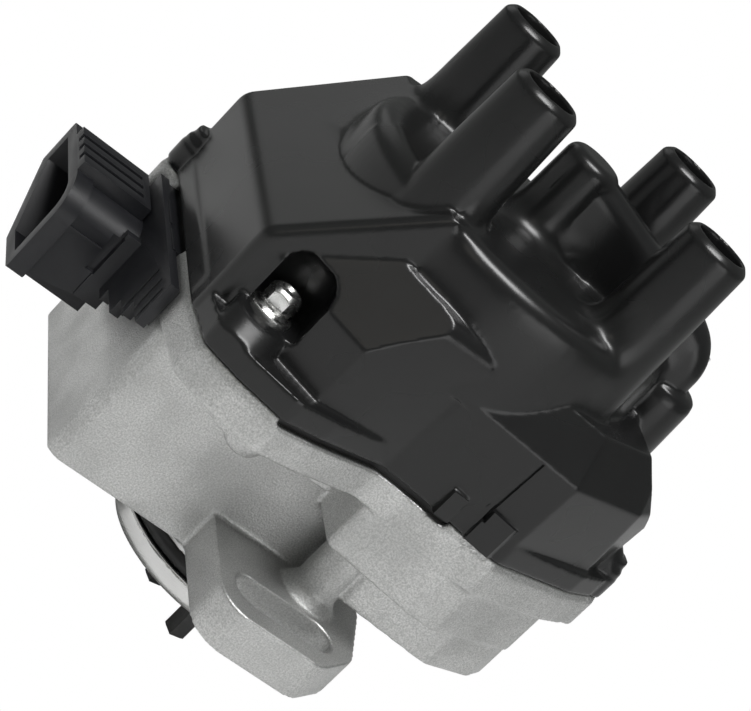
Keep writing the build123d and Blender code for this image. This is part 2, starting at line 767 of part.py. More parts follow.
def cap_inside():
    """Everything hollow in the cap."""
    x, y = coil_tower_place()
    room = drum(CAP_WALL) + cap_box(CAP_WALL) + coil_chamber(CAP_WALL)
    lower = prism(rim_outline(CAP_WALL + LAND_INSET), CAP_BASE, VALLEY_TOP)
    room = (room & lower) + (room - block(-100, 100, -100, 100, CAP_BASE, VALLEY_TOP))
    room -= rod(BRUSH_BOSS_RADIUS, BRUSH_BOSS_BOTTOM, DRUM_TOP)
    room += rod(BOSS_BORE, CAP_BASE + 10, BAR_POST_BOTTOM, x, y)
    for x, y in SCREW_PLACES:
        room -= screw_niche(x, y, CAP_WALL)
    return room


def cap():
    """Moulded distributor cap."""
    body = cap_outside() - cap_inside()
    for x, y in tower_places():
        body -= rod(TOWER_BORE, TOWER_BORE_FLOOR, TOWER_TIP, x, y)
        body -= rod(TERMINAL_RADIUS, ELECTRODE_TOP, TOWER_BORE_FLOOR, x, y)
        body -= rod(ELECTRODE_RADIUS, DRUM_TOP - CAP_WALL, ELECTRODE_TOP, x, y)
    for x, y in SCREW_PLACES:
        body -= rod(CAP_SCREW_RADIUS, CAP_BASE, SCREW_BOSS_TOP, x, y)
        body -= screw_niche(x, y)
    body -= hv_bar_solid()
    body -= rod(BRUSH_RADIUS + BRUSH_CLEARANCE, BRUSH_BOSS_BOTTOM, BAR_BOTTOM)
    return body


# ---------------------------------------------------------------- joint parts
def cap_seal():
    """Gasket between cap and housing."""
    face = rim_outline(SEAL_INSET) - rim_outline(SEAL_INSET + SEAL_WIDTH)
    seal = prism(face, RIM_TOP, CAP_BASE)
    for x, y in SCREW_PLACES:
        seal -= rod(CAP_SCREW_RADIUS, RIM_TOP, CAP_BASE, x, y)
    return seal


def cap_screws():
    """Flange-head hexagon screws of the cap."""
    screws = Part()
    for x, y in SCREW_PLACES:
        flange_top = SCREW_BOSS_TOP + CAP_SCREW_FLANGE_THICKNESS
        screws += rod(CAP_SCREW_RADIUS, screw_bottom(), SCREW_BOSS_TOP, x, y)
        screws += rod(CAP_SCREW_FLANGE, SCREW_BOSS_TOP, flange_top, x, y)
        hexagon = Pos(x, y) * RegularPolygon(CAP_SCREW_HEX / 2, 6, major_radius=False)
        screws += prism(hexagon, flange_top, flange_top + CAP_SCREW_HEAD)
    return screws


# ---------------------------------------------------------------- high tension parts
def side_electrodes():
    """Electrodes that the rotor tip passes."""
    return Part() + [rod(ELECTRODE_RADIUS, ELECTRODE_BOTTOM, ELECTRODE_TOP, x, y) for x, y in tower_places()]


def tower_terminals():
    """Metal sockets inside the towers."""
    sockets = Part()
    for x, y in tower_places():
        socket = rod(TERMINAL_RADIUS, ELECTRODE_TOP, TERMINAL_TOP, x, y)
        sockets += socket - rod(TERMINAL_BORE, TERMINAL_FLOOR, TERMINAL_TOP, x, y)
    return sockets


def hv_bar_solid():
    """Conductor from the coil boss to the brush, moulded into the ridge."""
    x, y = coil_tower_place()
    reach = math.hypot(x, y)
    side = BAR_WIDTH / 2
    bar = block(-BAR_WIDTH, reach + BAR_WIDTH, -side, side, BAR_BOTTOM, BAR_BOTTOM + BAR_THICKNESS)
    return ridge_frame() * bar + rod(BAR_POST_RADIUS, BAR_POST_BOTTOM, BAR_BOTTOM, x, y)


def carbon_brush():
    """Carbon brush that rides on the rotor blade."""
    return rod(BRUSH_RADIUS, BLADE_TOP, BLADE_TOP + BRUSH_LENGTH)


def brush_spring():
    """Coil spring above the brush."""
    z0 = BLADE_TOP + BRUSH_LENGTH
    length = BAR_BOTTOM - z0 - 2 * SPRING_WIRE
    radius = BRUSH_RADIUS - SPRING_WIRE
    path = Pos(0, 0, z0 + SPRING_WIRE) * Helix(length / SPRING_TURNS, length, radius - SPRING_WIRE / 2)
    profile = Plane(path @ 0, z_dir=path % 0) * Circle(SPRING_WIRE)
    return sweep(profile, path)


# ---------------------------------------------------------------- rotor
def rotor_arm():
    """Moulded rotor on the flatted top of the shaft."""
    body = rod(ROTOR_HUB_RADIUS, ROTOR_BOTTOM, BLADE_TOP - BLADE_THICKNESS)
    body += rod(ROTOR_SKIRT_RADIUS, ROTOR_SKIRT_BOTTOM, ROTOR_SKIRT_BOTTOM + ROTOR_SKIRT_THICKNESS)
    side = ROTOR_ARM_WIDTH / 2
    body += block(0, ROTOR_TIP - 2.5, -side, side, ROTOR_SKIRT_BOTTOM, BLADE_TOP - BLADE_THICKNESS)
    body -= shaft_top(SHAFT_TOP)
    body -= rotor_screw()
    return body


def shaft_top(top):
    """Upper end of the shaft with its flat."""
    solid = rod(SHAFT_TOP_RADIUS, SHAFT_STEP, top)
    flat = SHAFT_TOP_RADIUS - SHAFT_FLAT
    return solid - block(-SHAFT_TOP_RADIUS, SHAFT_TOP_RADIUS, -SHAFT_TOP_RADIUS, -flat, ROTOR_BOTTOM, top)


def rotor_screw():
    """Screw through the rotor hub on to the flat of the shaft."""
    seat = -ROTOR_HUB_RADIUS
    flat = -(SHAFT_TOP_RADIUS - SHAFT_FLAT)
    shank = extrude(Plane.XZ.offset(-flat) * Circle(ROTOR_SCREW_RADIUS), flat - seat)
    head = extrude(Plane.XZ.offset(-seat) * Circle(SMALL_HEAD_RADIUS), SMALL_HEAD)
    return Pos(0, 0, ROTOR_SCREW_HEIGHT) * (shank + head)


def rotor_blade():
    """Brass strip from the brush to the rotor tip."""
    side = BLADE_WIDTH / 2
    strip = block(-side, ROTOR_TIP, -side, side, BLADE_TOP - BLADE_THICKNESS, BLADE_TOP)
    return strip & rod(ROTOR_TIP, BLADE_TOP - BLADE_THICKNESS, BLADE_TOP)


# ---------------------------------------------------------------- shaft gear
def shaft():
    """Distributor shaft."""
    body = rod(SHAFT_RADIUS, SHAFT_BOTTOM, SHAFT_STEP)
    body += rod(SHOULDER_RADIUS, BEARING_BOTTOM - SHOULDER_LENGTH, BEARING_BOTTOM)
    body += shaft_top(SHAFT_TOP)
    return body - coupling_pin()


def bearing_outer_ring():
    """Outer race of the ball bearing."""
    body = ring(BEARING_RADIUS, BEARING_RADIUS - RACE_THICKNESS, BEARING_BOTTOM, BEARING_BOTTOM + BEARING_WIDTH)
    return body - ball_track()


def bearing_inner_ring():
    """Inner race of the ball bearing."""
    body = ring(SHAFT_RADIUS + RACE_THICKNESS, SHAFT_RADIUS, BEARING_BOTTOM, BEARING_BOTTOM + BEARING_WIDTH)
    return body - ball_track()


def ball_pitch():
    """Radius of the circle on which the balls run."""
    return (SHAFT_RADIUS + BEARING_RADIUS) / 2


def ball_track():
    """Ring-shaped track that clears the balls."""
    track = Torus(ball_pitch(), BALL_RADIUS + BALL_CLEARANCE)
    return Pos(0, 0, BEARING_BOTTOM + BEARING_WIDTH / 2) * track


def bearing_balls():
    """Balls of the bearing."""
    middle = BEARING_BOTTOM + BEARING_WIDTH / 2
    places = PolarLocations(ball_pitch(), BALL_COUNT)
    return Part() + [Pos(0, 0, middle) * place * Sphere(BALL_RADIUS) for place in places]


def bearing_circlip():
    """Ring that keeps the bearing in the tube."""
    bottom = BEARING_BOTTOM + BEARING_WIDTH
    outer = BEARING_RADIUS + CIRCLIP_GRIP
    body = ring(outer, outer - CIRCLIP_WIDTH, bottom, bottom + CIRCLIP_THICKNESS)
    return body - block(0, outer, -3, 3, bottom, bottom + CIRCLIP_THICKNESS)


def lower_bush():
    """Sintered bush in the collar."""
    return ring(SHAFT_RADIUS + BUSH_WALL, SHAFT_RADIUS + RUNNING_CLEARANCE, BUSH_BOTTOM, BUSH_TOP)


def o_ring():
    """Seal round the collar."""
    return Pos(0, 0, O_RING_PLANE) * Torus(COLLAR_RADIUS - O_RING_SECTION, O_RING_SECTION)


def thrust_washer():
    """Washer between collar and coupling."""
    return ring(WASHER_RADIUS, SHAFT_RADIUS + RUNNING_CLEARANCE, COLLAR_BOTTOM - WASHER_THICKNESS, COLLAR_BOTTOM)


def drive_coupling():
    """Coupling with two offset dogs."""
    top = COLLAR_BOTTOM - WASHER_THICKNESS - END_FLOAT
    body = rod(COUPLING_RADIUS, COUPLING_BOTTOM, top)
    body = chamfer(body.edges().sort_by(Axis.Z)[0], 0.8)
    for side in (-1, 1):
        dog = block(
            side * DOG_CIRCLE - DOG_DEPTH / 2,
            side * DOG_CIRCLE + DOG_DEPTH / 2,
            DOG_OFFSET - DOG_WIDTH / 2,
            DOG_OFFSET + DOG_WIDTH / 2,
            DOG_TIP,
            COUPLING_BOTTOM,
        )
        dog = chamfer(dog.faces().sort_by(Axis.Z)[0].edges(), 0.5)
        body += Rot(0, 0, DOG_ANGLE) * dog
    return body - rod(SHAFT_RADIUS, SHAFT_BOTTOM, top) - coupling_pin()


def coupling_pin():
    """Pin through coupling and shaft."""
    height = (SHAFT_BOTTOM + COLLAR_BOTTOM) / 2 - 0.4
    pin = Rot(90, 0, 0) * Cylinder(PIN_RADIUS, 2 * COUPLING_RADIUS - 1.0)
    return Pos(0, 0, height) * Rot(0, 0, DOG_ANGLE) * pin


def disc_hub():
    """Sleeve that carries the timing disc."""
    body = ring(HUB_RADIUS, SHAFT_RADIUS, BEARING_BOTTOM + BEARING_WIDTH, DISC_BOTTOM)
    return body - disc_screws()


def signal_disc():
    """Timing disc with a ring of slits and one window for each cylinder."""
    top = DISC_BOTTOM + DISC_THICKNESS
    body = ring(DISC_RADIUS, SHAFT_RADIUS, DISC_BOTTOM, top)
    slit = block(SLIT_INNER, SLIT_OUTER, -SLIT_WIDTH / 2, SLIT_WIDTH / 2, DISC_BOTTOM, top)
    side = WINDOW_SIZE / 2
    window = block(WINDOW_RADIUS, WINDOW_RADIUS + WINDOW_SIZE, -side, side, DISC_BOTTOM, top)
    cuts = [Rot(0, 0, 360 * i / DISC_SLITS) * slit for i in range(DISC_SLITS)]
    cuts += [Rot(0, 0, 90 * i + 5) * window for i in range(4)]
    return body - cuts - disc_screws()


def disc_clamp():
    """Ring that clamps the disc on its hub."""
    bottom = DISC_BOTTOM + DISC_THICKNESS
    return ring(HUB_RADIUS, SHAFT_RADIUS, bottom, bottom + CLAMP_THICKNESS) - disc_screws()


def disc_screws():
    """Two small screws through clamp and disc into the hub."""
    seat = DISC_BOTTOM + DISC_THICKNESS + CLAMP_THICKNESS
    screws = Part()
    for x in (-DISC_SCREW_CIRCLE, DISC_SCREW_CIRCLE):
        screws += rod(DISC_SCREW_RADIUS, DISC_BOTTOM - 5, seat, x, 0)
        screws += rod(1.8, seat, seat + 1.2, x, 0)
    return screws


# ---------------------------------------------------------------- pick-up and dust shield
def pickup_module():
    """Forked optical pick-up round the edge of the disc."""
    body = block(-PICKUP_WIDTH / 2, PICKUP_WIDTH / 2, PICKUP_FRONT, PICKUP_BACK, PICKUP_BOTTOM, PICKUP_TOP)
    body = round_edges(body, Axis.Z, 1.5)
    gap_middle = DISC_BOTTOM + DISC_THICKNESS / 2
    body -= block(
        -PICKUP_WIDTH,
        PICKUP_WIDTH,
        PICKUP_FRONT - 1,
        DISC_RADIUS + 1.5,
        gap_middle - PICKUP_GAP / 2,
        gap_middle + PICKUP_GAP / 2,
    )
    for x in (-PICKUP_SCREW_X, PICKUP_SCREW_X):
        body -= rod(SMALL_HEAD_RADIUS + 0.3, PICKUP_BOTTOM + 3, PICKUP_TOP, x, PICKUP_SCREW_Y)
        body -= small_hole(x, PICKUP_SCREW_Y, PICKUP_BOTTOM, PICKUP_TOP)
    return body


def pickup_screws():
    """Screws of the pick-up."""
    xs = (-PICKUP_SCREW_X, PICKUP_SCREW_X)
    return Part() + [small_screw(x, PICKUP_SCREW_Y, PICKUP_BOTTOM + 3, SMALL_REACH + 3) for x in xs]


def dust_shield():
    """Cover between pick-up and rotor."""
    top = SHIELD_BOTTOM + SHIELD_THICKNESS
    body = ring(SHIELD_RADIUS, SHIELD_HOLE, SHIELD_BOTTOM, top)
    for x, y in SHIELD_PILLARS:
        body -= small_hole(x, y, SHIELD_BOTTOM, top)
    body -= block(COIL_LEFT - 3, 60, -40, 40, SHIELD_BOTTOM, top)
    return body & prism(rim_outline(CAP_WALL + 2 * LAND_INSET), SHIELD_BOTTOM, top)


def shield_screws():
    """Screws of the dust shield."""
    reach = SMALL_REACH + SHIELD_THICKNESS
    return Part() + [small_screw(x, y, SHIELD_BOTTOM + SHIELD_THICKNESS, reach) for x, y in SHIELD_PILLARS]


# ---------------------------------------------------------------- ignition coil
def coil_body():
    """Moulded coil with its high-tension tower."""
    body = block(COIL_LEFT, COIL_RIGHT, COIL_FRONT, COIL_BACK, COIL_BOTTOM, COIL_TOP)
    body = round_edges(body, Axis.Z, COIL_EDGE)
    x, y = coil_tower_place()
    body += rod(COIL_TOWER_RADIUS, CORE_BOTTOM + CORE_HEIGHT, COIL_TOWER_TOP, x, y)
    return body - rod(COIL_SOCKET_RADIUS, COIL_SOCKET_FLOOR, COIL_TOWER_TOP, x, y) - coil_core()


def coil_core():
    """Laminated core round the coil."""
    body = block(
        COIL_LEFT - CORE_LIMB,
        COIL_RIGHT + CORE_LIMB,
        COIL_FRONT - CORE_END,
        COIL_BACK + CORE_END,
        CORE_BOTTOM,
        CORE_BOTTOM + CORE_HEIGHT,
    )
    inner = block(COIL_LEFT, COIL_RIGHT, COIL_FRONT, COIL_BACK, CORE_BOTTOM, CORE_BOTTOM + CORE_HEIGHT)
    body -= round_edges(inner, Axis.Z, COIL_EDGE)
    for x, y in coil_screw_places():
        body -= small_hole(x, y, CORE_BOTTOM, CORE_BOTTOM + CORE_HEIGHT)
    return body


def coil_screws():
    """Screws of the coil core."""
    top = CORE_BOTTOM + CORE_HEIGHT
    return Part() + [small_screw(x, y, top, SMALL_REACH + CORE_HEIGHT) for x, y in coil_screw_places()]


def coil_terminal():
    """Contact between the coil and the conductor in the ridge."""
    x, y = coil_tower_place()
    return rod(COIL_SOCKET_RADIUS, COIL_SOCKET_FLOOR, BAR_POST_BOTTOM, x, y)


# ---------------------------------------------------------------- igniter and condenser
def igniter_plate():
    """Heat plate under the igniter."""
    x0, x1, y0, y1 = HEAT_PLATE
    body = block(x0, x1, y0, y1, BOX_FLOOR, BOX_FLOOR + HEAT_PLATE_THICKNESS)
    for x, y in igniter_screw_places():
        body -= small_hole(x, y, BOX_FLOOR, BOX_FLOOR + HEAT_PLATE_THICKNESS)
    return body


def igniter():
    """Power transistor module."""
    x0, x1, y0, y1 = HEAT_PLATE
    bottom = BOX_FLOOR + HEAT_PLATE_THICKNESS
    body = block(
        x0 + IGNITER_MARGIN,
        x1 - IGNITER_MARGIN,
        y0 + IGNITER_ENDS,
        y1 - IGNITER_ENDS,
        bottom,
        bottom + IGNITER_HEIGHT,
    )
    return chamfer(body.faces().sort_by(Axis.Z)[-1].edges(), 0.8)


def igniter_screw_places():
    """Screws at both ends of the heat plate."""
    x0, x1, y0, y1 = HEAT_PLATE
    middle = (x0 + x1) / 2
    return [(middle, y0 + IGNITER_ENDS / 2), (middle, y1 - IGNITER_ENDS / 2)]


def igniter_screws():
    """Screws of the heat plate."""
    seat = BOX_FLOOR + HEAT_PLATE_THICKNESS
    return Part() + [small_screw(x, y, seat, HEAT_PLATE_THICKNESS) for x, y in igniter_screw_places()]


def condenser():
    """Radio-noise condenser standing in the box."""
    body = rod(CONDENSER_RADIUS, BOX_FLOOR, CONDENSER_TOP, CONDENSER_X, CONDENSER_Y)
    return fillet(body.edges().sort_by(Axis.Z)[-1], 1.0)


# ---------------------------------------------------------------- connector
def connector_profile(inset=0.0):
    """Mouth of the connector, with its slanted lower far corner, in Y and Z."""
    points = [
        (CONNECTOR_FRONT, CONNECTOR_BOTTOM),
        (CONNECTOR_SLANT_Y, CONNECTOR_BOTTOM),
        (CONNECTOR_BACK, CONNECTOR_SLANT_Z),
        (CONNECTOR_BACK, CONNECTOR_TOP),
        (CONNECTOR_FRONT, CONNECTOR_TOP),
    ]
    face = Polygon(*points, align=None)
    near_top = face.vertices().sort_by(lambda v: v.X - v.Y)[0]
    face = fillet(near_top, CONNECTOR_ROUND)
    return offset(face, -inset) if inset else face


def connector_keys():
    """Grooved block on top of the connector."""
    keys = block(CONNECTOR_TIP, KEY_END, KEY_FRONT, KEY_BACK, CONNECTOR_TOP - CONNECTOR_WALL / 2, KEY_TOP)
    pitch = (KEY_BACK - KEY_FRONT) / (KEY_GROOVES + 1)
    for index in range(KEY_GROOVES):
        y = KEY_FRONT + pitch * (index + 1)
        side = KEY_GROOVE / 2
        keys -= block(CONNECTOR_TIP, KEY_END - 2, y - side, y + side, KEY_TOP - KEY_GROOVE, KEY_TOP)
    return keys


def connector_shell():
    """Moulded connector housing that sits in the notch of the left wall."""
    flange_left = RIM_LEFT - CONNECTOR_FLANGE_THICKNESS - CONNECTOR_SEAL_THICKNESS
    body = extrude(Plane.YZ.offset(CONNECTOR_TIP) * connector_profile(), flange_left - CONNECTOR_TIP)
    body += extrude(Plane.YZ.offset(CONNECTOR_TIP) * connector_profile(-COLLAR_STEP), COLLAR_LENGTH)
    body += connector_keys()
    body += extrude(Plane.YZ.offset(flange_left) * flange_face(), CONNECTOR_FLANGE_THICKNESS)
    neck_left = RIM_LEFT - CONNECTOR_SEAL_THICKNESS
    body += block(neck_left, CONNECTOR_INNER, NOTCH_FRONT, NOTCH_BACK, NOTCH_BOTTOM, RIM_TOP)
    body -= extrude(
        Plane.YZ.offset(CONNECTOR_TIP) * connector_profile(CONNECTOR_WALL), CONNECTOR_FLOOR - CONNECTOR_TIP
    )
    return body - connector_pins()


def flange_face(inset=0.0):
    """Outline of the connector flange in Y and Z, with its stepped lower edge."""
    foot = FLANGE_STEPS[-1][1]
    corners = [(CONNECTOR_FLANGE_BACK, foot), (CONNECTOR_FLANGE_BACK, RIM_TOP), (CONNECTOR_FLANGE_FRONT, RIM_TOP)]
    face = Polygon((CONNECTOR_FLANGE_FRONT, FLANGE_STEPS[0][1]), *FLANGE_STEPS, *corners, align=None)
    return offset(face, -inset, kind=Kind.INTERSECTION) if inset else face


def connector_pins():
    """Contact blades through the connector."""
    pins = Part()
    z = (NOTCH_BOTTOM + CONNECTOR_TOP) / 2
    for index in range(PIN_COUNT):
        y = PIN_FIRST + index * PIN_PITCH
        side, half = PIN_WIDTH / 2, PIN_THICKNESS / 2
        pins += block(PIN_TIP, PIN_END, y - side, y + side, z - half, z + half)
    return pins


def connector_seal():
    """Gasket between the connector flange and the wall."""
    face = Plane.YZ.offset(RIM_LEFT - CONNECTOR_SEAL_THICKNESS) * flange_face(0.8)
    seal = extrude(face, CONNECTOR_SEAL_THICKNESS)
    return seal - block(RIM_LEFT - 5, RIM_LEFT + 5, NOTCH_FRONT, NOTCH_BACK, NOTCH_BOTTOM, RIM_TOP)


# ---------------------------------------------------------------- all parts
PARTS = {
    "housing": housing,
    "cap": cap,
    "cap_seal": cap_seal,
    "cap_screws": cap_screws,
    "tower_terminals": tower_terminals,
    "side_electrodes": side_electrodes,
    "hv_bar": hv_bar_solid,
    "carbon_brush": carbon_brush,
    "brush_spring": brush_spring,
    "rotor_arm": rotor_arm,
    "rotor_blade": rotor_blade,
    "rotor_screw": rotor_screw,
    "dust_shield": dust_shield,
    "shield_screws": shield_screws,
    "shaft": shaft,
    "bearing_outer_ring": bearing_outer_ring,
    "bearing_balls": bearing_balls,
    "bearing_inner_ring": bearing_inner_ring,
    "bearing_circlip": bearing_circlip,
    "lower_bush": lower_bush,
    "o_ring": o_ring,
    "thrust_washer": thrust_washer,
    "drive_coupling": drive_coupling,
    "coupling_pin": coupling_pin,
    "disc_hub": disc_hub,
    "signal_disc": signal_disc,
    "disc_clamp": disc_clamp,
    "disc_screws": disc_screws,
    "pickup_module": pickup_module,
    "pickup_screws": pickup_screws,
    "coil_body": coil_body,
    "coil_core": coil_core,
    "coil_screws": coil_screws,
    "coil_terminal": coil_terminal,
    "igniter": igniter,
    "igniter_plate": igniter_plate,
    "igniter_screws": igniter_screws,
    "condenser": condenser,
    "connector_shell": connector_shell,
    "connector_pins": connector_pins,
    "connector_seal": connector_seal,
}

os.makedirs("parts", exist_ok=True)
for name, make in PARTS.items():
    export_step(make(), f"parts/{name}.step")
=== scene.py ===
"""Looks of an ignition distributor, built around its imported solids.

Sizes are written in millimetres and become metres where a mesh is made. +Z runs up the shaft,
the connector points along -X and the slotted ear along -Y.
"""

import logging
import math
from collections.abc import Callable
from dataclasses import dataclass, field
from enum import Enum

import bpy
from mathutils import Matrix, Vector


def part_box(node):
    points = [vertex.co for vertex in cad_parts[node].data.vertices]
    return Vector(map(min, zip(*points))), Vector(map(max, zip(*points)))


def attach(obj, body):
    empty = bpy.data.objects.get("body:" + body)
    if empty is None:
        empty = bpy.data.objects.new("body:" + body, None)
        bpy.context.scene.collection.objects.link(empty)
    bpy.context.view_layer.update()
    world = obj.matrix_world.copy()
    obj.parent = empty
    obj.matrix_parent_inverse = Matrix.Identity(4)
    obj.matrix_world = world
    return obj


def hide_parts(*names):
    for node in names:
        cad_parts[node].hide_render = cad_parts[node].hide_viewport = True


MM = 0.001
LOG = logging.getLogger("distributor")
Point = tuple[float, float]
Triple = tuple[float, float, float]
Ring = tuple[float, float, float, float]


# ---------------------------------------------------------------- finishes
class Pattern(Enum):
    """How the fine relief of a finish runs."""

    GRAIN = "grain"
    TURNED = "turned"
    STACKED = "stacked"


def add_socket(tree: bpy.types.NodeTree, name: str, way: str, kind: str, value: float | None = None) -> None:
    """Adds one socket to a node group.

    Args:
        tree: the group.
        name: the socket's name.
        way: INPUT or OUTPUT.
        kind: the socket's type.
        value: default of a number input.
    """
    socket = tree.interface.new_socket(name, in_out=way, socket_type=kind)
    if value is not None:
        socket.default_value = value


class ReliefGroup:
    """Shared node group that gives the grain, the patches and the height of a finish."""

    def __init__(self, pattern: Pattern) -> None:
        """Builds the group for one pattern.

        Args:
            pattern: how the relief runs.
        """
        self.tree = bpy.data.node_groups.new(f"relief_{pattern.value}", "ShaderNodeTree")
        add_socket(self.tree, "Grain Scale", "INPUT", "NodeSocketFloat", 1000.0)
        add_socket(self.tree, "Patch Scale", "INPUT", "NodeSocketFloat", 80.0)
        for name in ("Grain", "Patch", "Height"):
            add_socket(self.tree, name, "OUTPUT", "NodeSocketFloat")
        self._wire(pattern)

    def _wire(self, pattern: Pattern) -> None:
        """Places and links the nodes inside the group."""
        nodes, links = self.tree.nodes, self.tree.links
        start = nodes.new("NodeGroupInput")
        end = nodes.new("NodeGroupOutput")
        place = nodes.new("ShaderNodeTexCoord")
        stretch = nodes.new("ShaderNodeMapping")
        stretch.inputs["Scale"].default_value = {
            Pattern.GRAIN: (1.0, 1.0, 1.0),
            Pattern.TURNED: (0.02, 0.02, 1.0),
            Pattern.STACKED: (0.01, 0.01, 1.0),
        }[pattern]
        fine = nodes.new("ShaderNodeTexNoise")
        fine.inputs["Detail"].default_value = 3.0
        fine.inputs["Roughness"].default_value = 0.6
        broad = nodes.new("ShaderNodeTexNoise")
        broad.inputs["Detail"].default_value = 2.0
        pits = nodes.new("ShaderNodeTexVoronoi")
        pits.feature = "SMOOTH_F1"
        blend = nodes.new("ShaderNodeMath")
        blend.operation = "MULTIPLY_ADD"
        blend.inputs[1].default_value = 0.5
        links.new(place.outputs["Object"], stretch.inputs["Vector"])
        for noise, scale in ((fine, "Grain Scale"), (broad, "Patch Scale"), (pits, "Grain Scale")):
            source = place.outputs["Object"] if noise is broad else stretch.outputs["Vector"]
            links.new(source, noise.inputs["Vector"])
            links.new(start.outputs[scale], noise.inputs["Scale"])
        links.new(pits.outputs["Distance"], blend.inputs[0])
        links.new(fine.outputs["Fac"], blend.inputs[2])
        links.new(fine.outputs["Fac"], end.inputs["Grain"])
        links.new(broad.outputs["Fac"], end.inputs["Patch"])
        links.new(blend.outputs[0], end.inputs["Height"])


@dataclass(frozen=True)
class Finish:
    """One surface finish, dressed as a Principled material with a relief group.

    Attributes:
        label: the material's name.
        base: colour of most of the surface.
        mottle: colour that the patches and grain mix in.
        metallic: 1 for bare metal.
        roughness: middle roughness.
        swing: how far the roughness strays either way.
        grain: size of one grain in millimetres.
        patch: size of one patch in millimetres.
        relief: height of the bump in millimetres.
        pattern: how the relief runs.
        blotch: how much the patches colour the surface.
        speck: how much the grain colours the surface.
        coat: weight of a clear gloss over it.
    """

    label: str
    base: Triple
    mottle: Triple
    metallic: float
    roughness: float
    swing: float = 0.05
    grain: float = 0.5
    patch: float = 12.0
    relief: float = 0.01
    pattern: Pattern = Pattern.GRAIN
    blotch: float = 0.4
    speck: float = 0.3
    coat: float = 0.0

    def build(self, reliefs: dict[Pattern, ReliefGroup]) -> bpy.types.Material:
        """Makes the material.

        Args:
            reliefs: the shared groups by pattern.

        Returns:
            The finished material.
        """
        material = bpy.data.materials.new(self.label)
        material.use_nodes = True
        nodes, links = material.node_tree.nodes, material.node_tree.links
        shader = nodes["Principled BSDF"]
        shader.inputs["Metallic"].default_value = self.metallic
        shader.inputs["Coat Weight"].default_value = self.coat
        shader.inputs["Coat Roughness"].default_value = 0.15
        relief = nodes.new("ShaderNodeGroup")
        relief.node_tree = reliefs[self.pattern].tree
        relief.inputs["Grain Scale"].default_value = 1.0 / (self.grain * MM)
        relief.inputs["Patch Scale"].default_value = 1.0 / (self.patch * MM)
        mixed = self._mix(nodes, links, relief)
        links.new(mixed, shader.inputs["Base Color"])
        sheen = nodes.new("ShaderNodeMapRange")
        sheen.inputs["From Min"].default_value = 0.3
        sheen.inputs["From Max"].default_value = 0.7
        sheen.inputs["To Min"].default_value = self.roughness - self.swing
        sheen.inputs["To Max"].default_value = self.roughness + self.swing
        links.new(relief.outputs["Patch"], sheen.inputs["Value"])
        links.new(sheen.outputs["Result"], shader.inputs["Roughness"])
        bump = nodes.new("ShaderNodeBump")
        bump.inputs["Distance"].default_value = self.relief * MM
        links.new(relief.outputs["Height"], bump.inputs["Height"])
        links.new(bump.outputs["Normal"], shader.inputs["Normal"])
        return material

    def _mix(self, nodes: bpy.types.Nodes, links: bpy.types.NodeLinks, relief: bpy.types.Node) -> bpy.types.NodeSocket:
        """Mixes the mottle into the base by patch and by grain.

        Args:
            nodes: the material's nodes.
            links: the material's links.
            relief: the placed relief group.

        Returns:
            The socket that holds the colour.
        """
        colour = None
        for output, amount in (("Patch", self.blotch), ("Grain", self.speck)):
            weight = nodes.new("ShaderNodeMapRange")
            weight.inputs["From Min"].default_value = 0.35
            weight.inputs["From Max"].default_value = 0.65
            weight.inputs["To Max"].default_value = amount
            links.new(relief.outputs[output], weight.inputs["Value"])
            mix = nodes.new("ShaderNodeMix")
            mix.data_type = "RGBA"
            mix.inputs["A"].default_value = (*self.base, 1.0)
            mix.inputs["B"].default_value = (*self.mottle, 1.0)
            if colour:
                links.new(colour, mix.inputs["A"])
            links.new(weight.outputs["Result"], mix.inputs["Factor"])
            colour = mix.outputs["Result"]
        return colour


CAST = Finish(
    "cast_aluminium", (0.76, 0.76, 0.75), (0.38, 0.385, 0.38), 0.9, 0.43, 0.07, 0.42, 12.0, 0.11, blotch=0.3, speck=0.75
)
MACHINED = Finish(
    "machined_aluminium", (0.84, 0.84, 0.83), (0.70, 0.70, 0.69), 1.0, 0.24, 0.05, 0.25, 9.0, 0.012, Pattern.TURNED
)
CAP_BLACK = Finish(
    "cap_moulding", (0.010, 0.010, 0.0105), (0.014, 0.0145, 0.014), 0.0, 0.27, 0.03, 0.6, 30.0, 0.004, blotch=0.5
)
CONNECTOR_BLACK = Finish(
    "connector_moulding", (0.0085, 0.0088, 0.0110), (0.012, 0.0125, 0.015), 0.0, 0.42, 0.05, 0.35, 10.0, 0.012
)
RUBBER = Finish("rubber", (0.010, 0.010, 0.010), (0.016, 0.016, 0.016), 0.0, 0.42, 0.06, 0.3, 5.0, 0.01)
ZINC = Finish("zinc_plate", (0.92, 0.92, 0.91), (0.76, 0.76, 0.74), 1.0, 0.26, 0.08, 0.4, 2.0, 0.02)
DARK_STEEL = Finish("dark_steel", (0.26, 0.26, 0.26), (0.15, 0.15, 0.155), 0.9, 0.42, 0.08, 0.5, 5.0, 0.02)
STEEL = Finish("turned_steel", (0.56, 0.56, 0.57), (0.42, 0.42, 0.43), 1.0, 0.28, 0.06, 0.3, 8.0, 0.01, Pattern.TURNED)
POLISHED = Finish("polished_steel", (0.80, 0.80, 0.81), (0.70, 0.70, 0.71), 1.0, 0.08, 0.03, 0.5, 4.0, 0.002)
SPRING = Finish("spring_wire", (0.42, 0.42, 0.43), (0.30, 0.30, 0.31), 1.0, 0.34, 0.06, 0.2, 2.0, 0.005)
BRASS = Finish("brass_strip", (0.78, 0.56, 0.24), (0.62, 0.42, 0.18), 1.0, 0.28, 0.07, 0.3, 6.0, 0.01)
BRONZE = Finish("sintered_bronze", (0.50, 0.34, 0.18), (0.34, 0.22, 0.11), 0.9, 0.50, 0.08, 0.25, 4.0, 0.04)
CARBON = Finish("pressed_carbon", (0.03, 0.03, 0.032), (0.06, 0.06, 0.06), 0.0, 0.55, 0.08, 0.15, 2.0, 0.02)
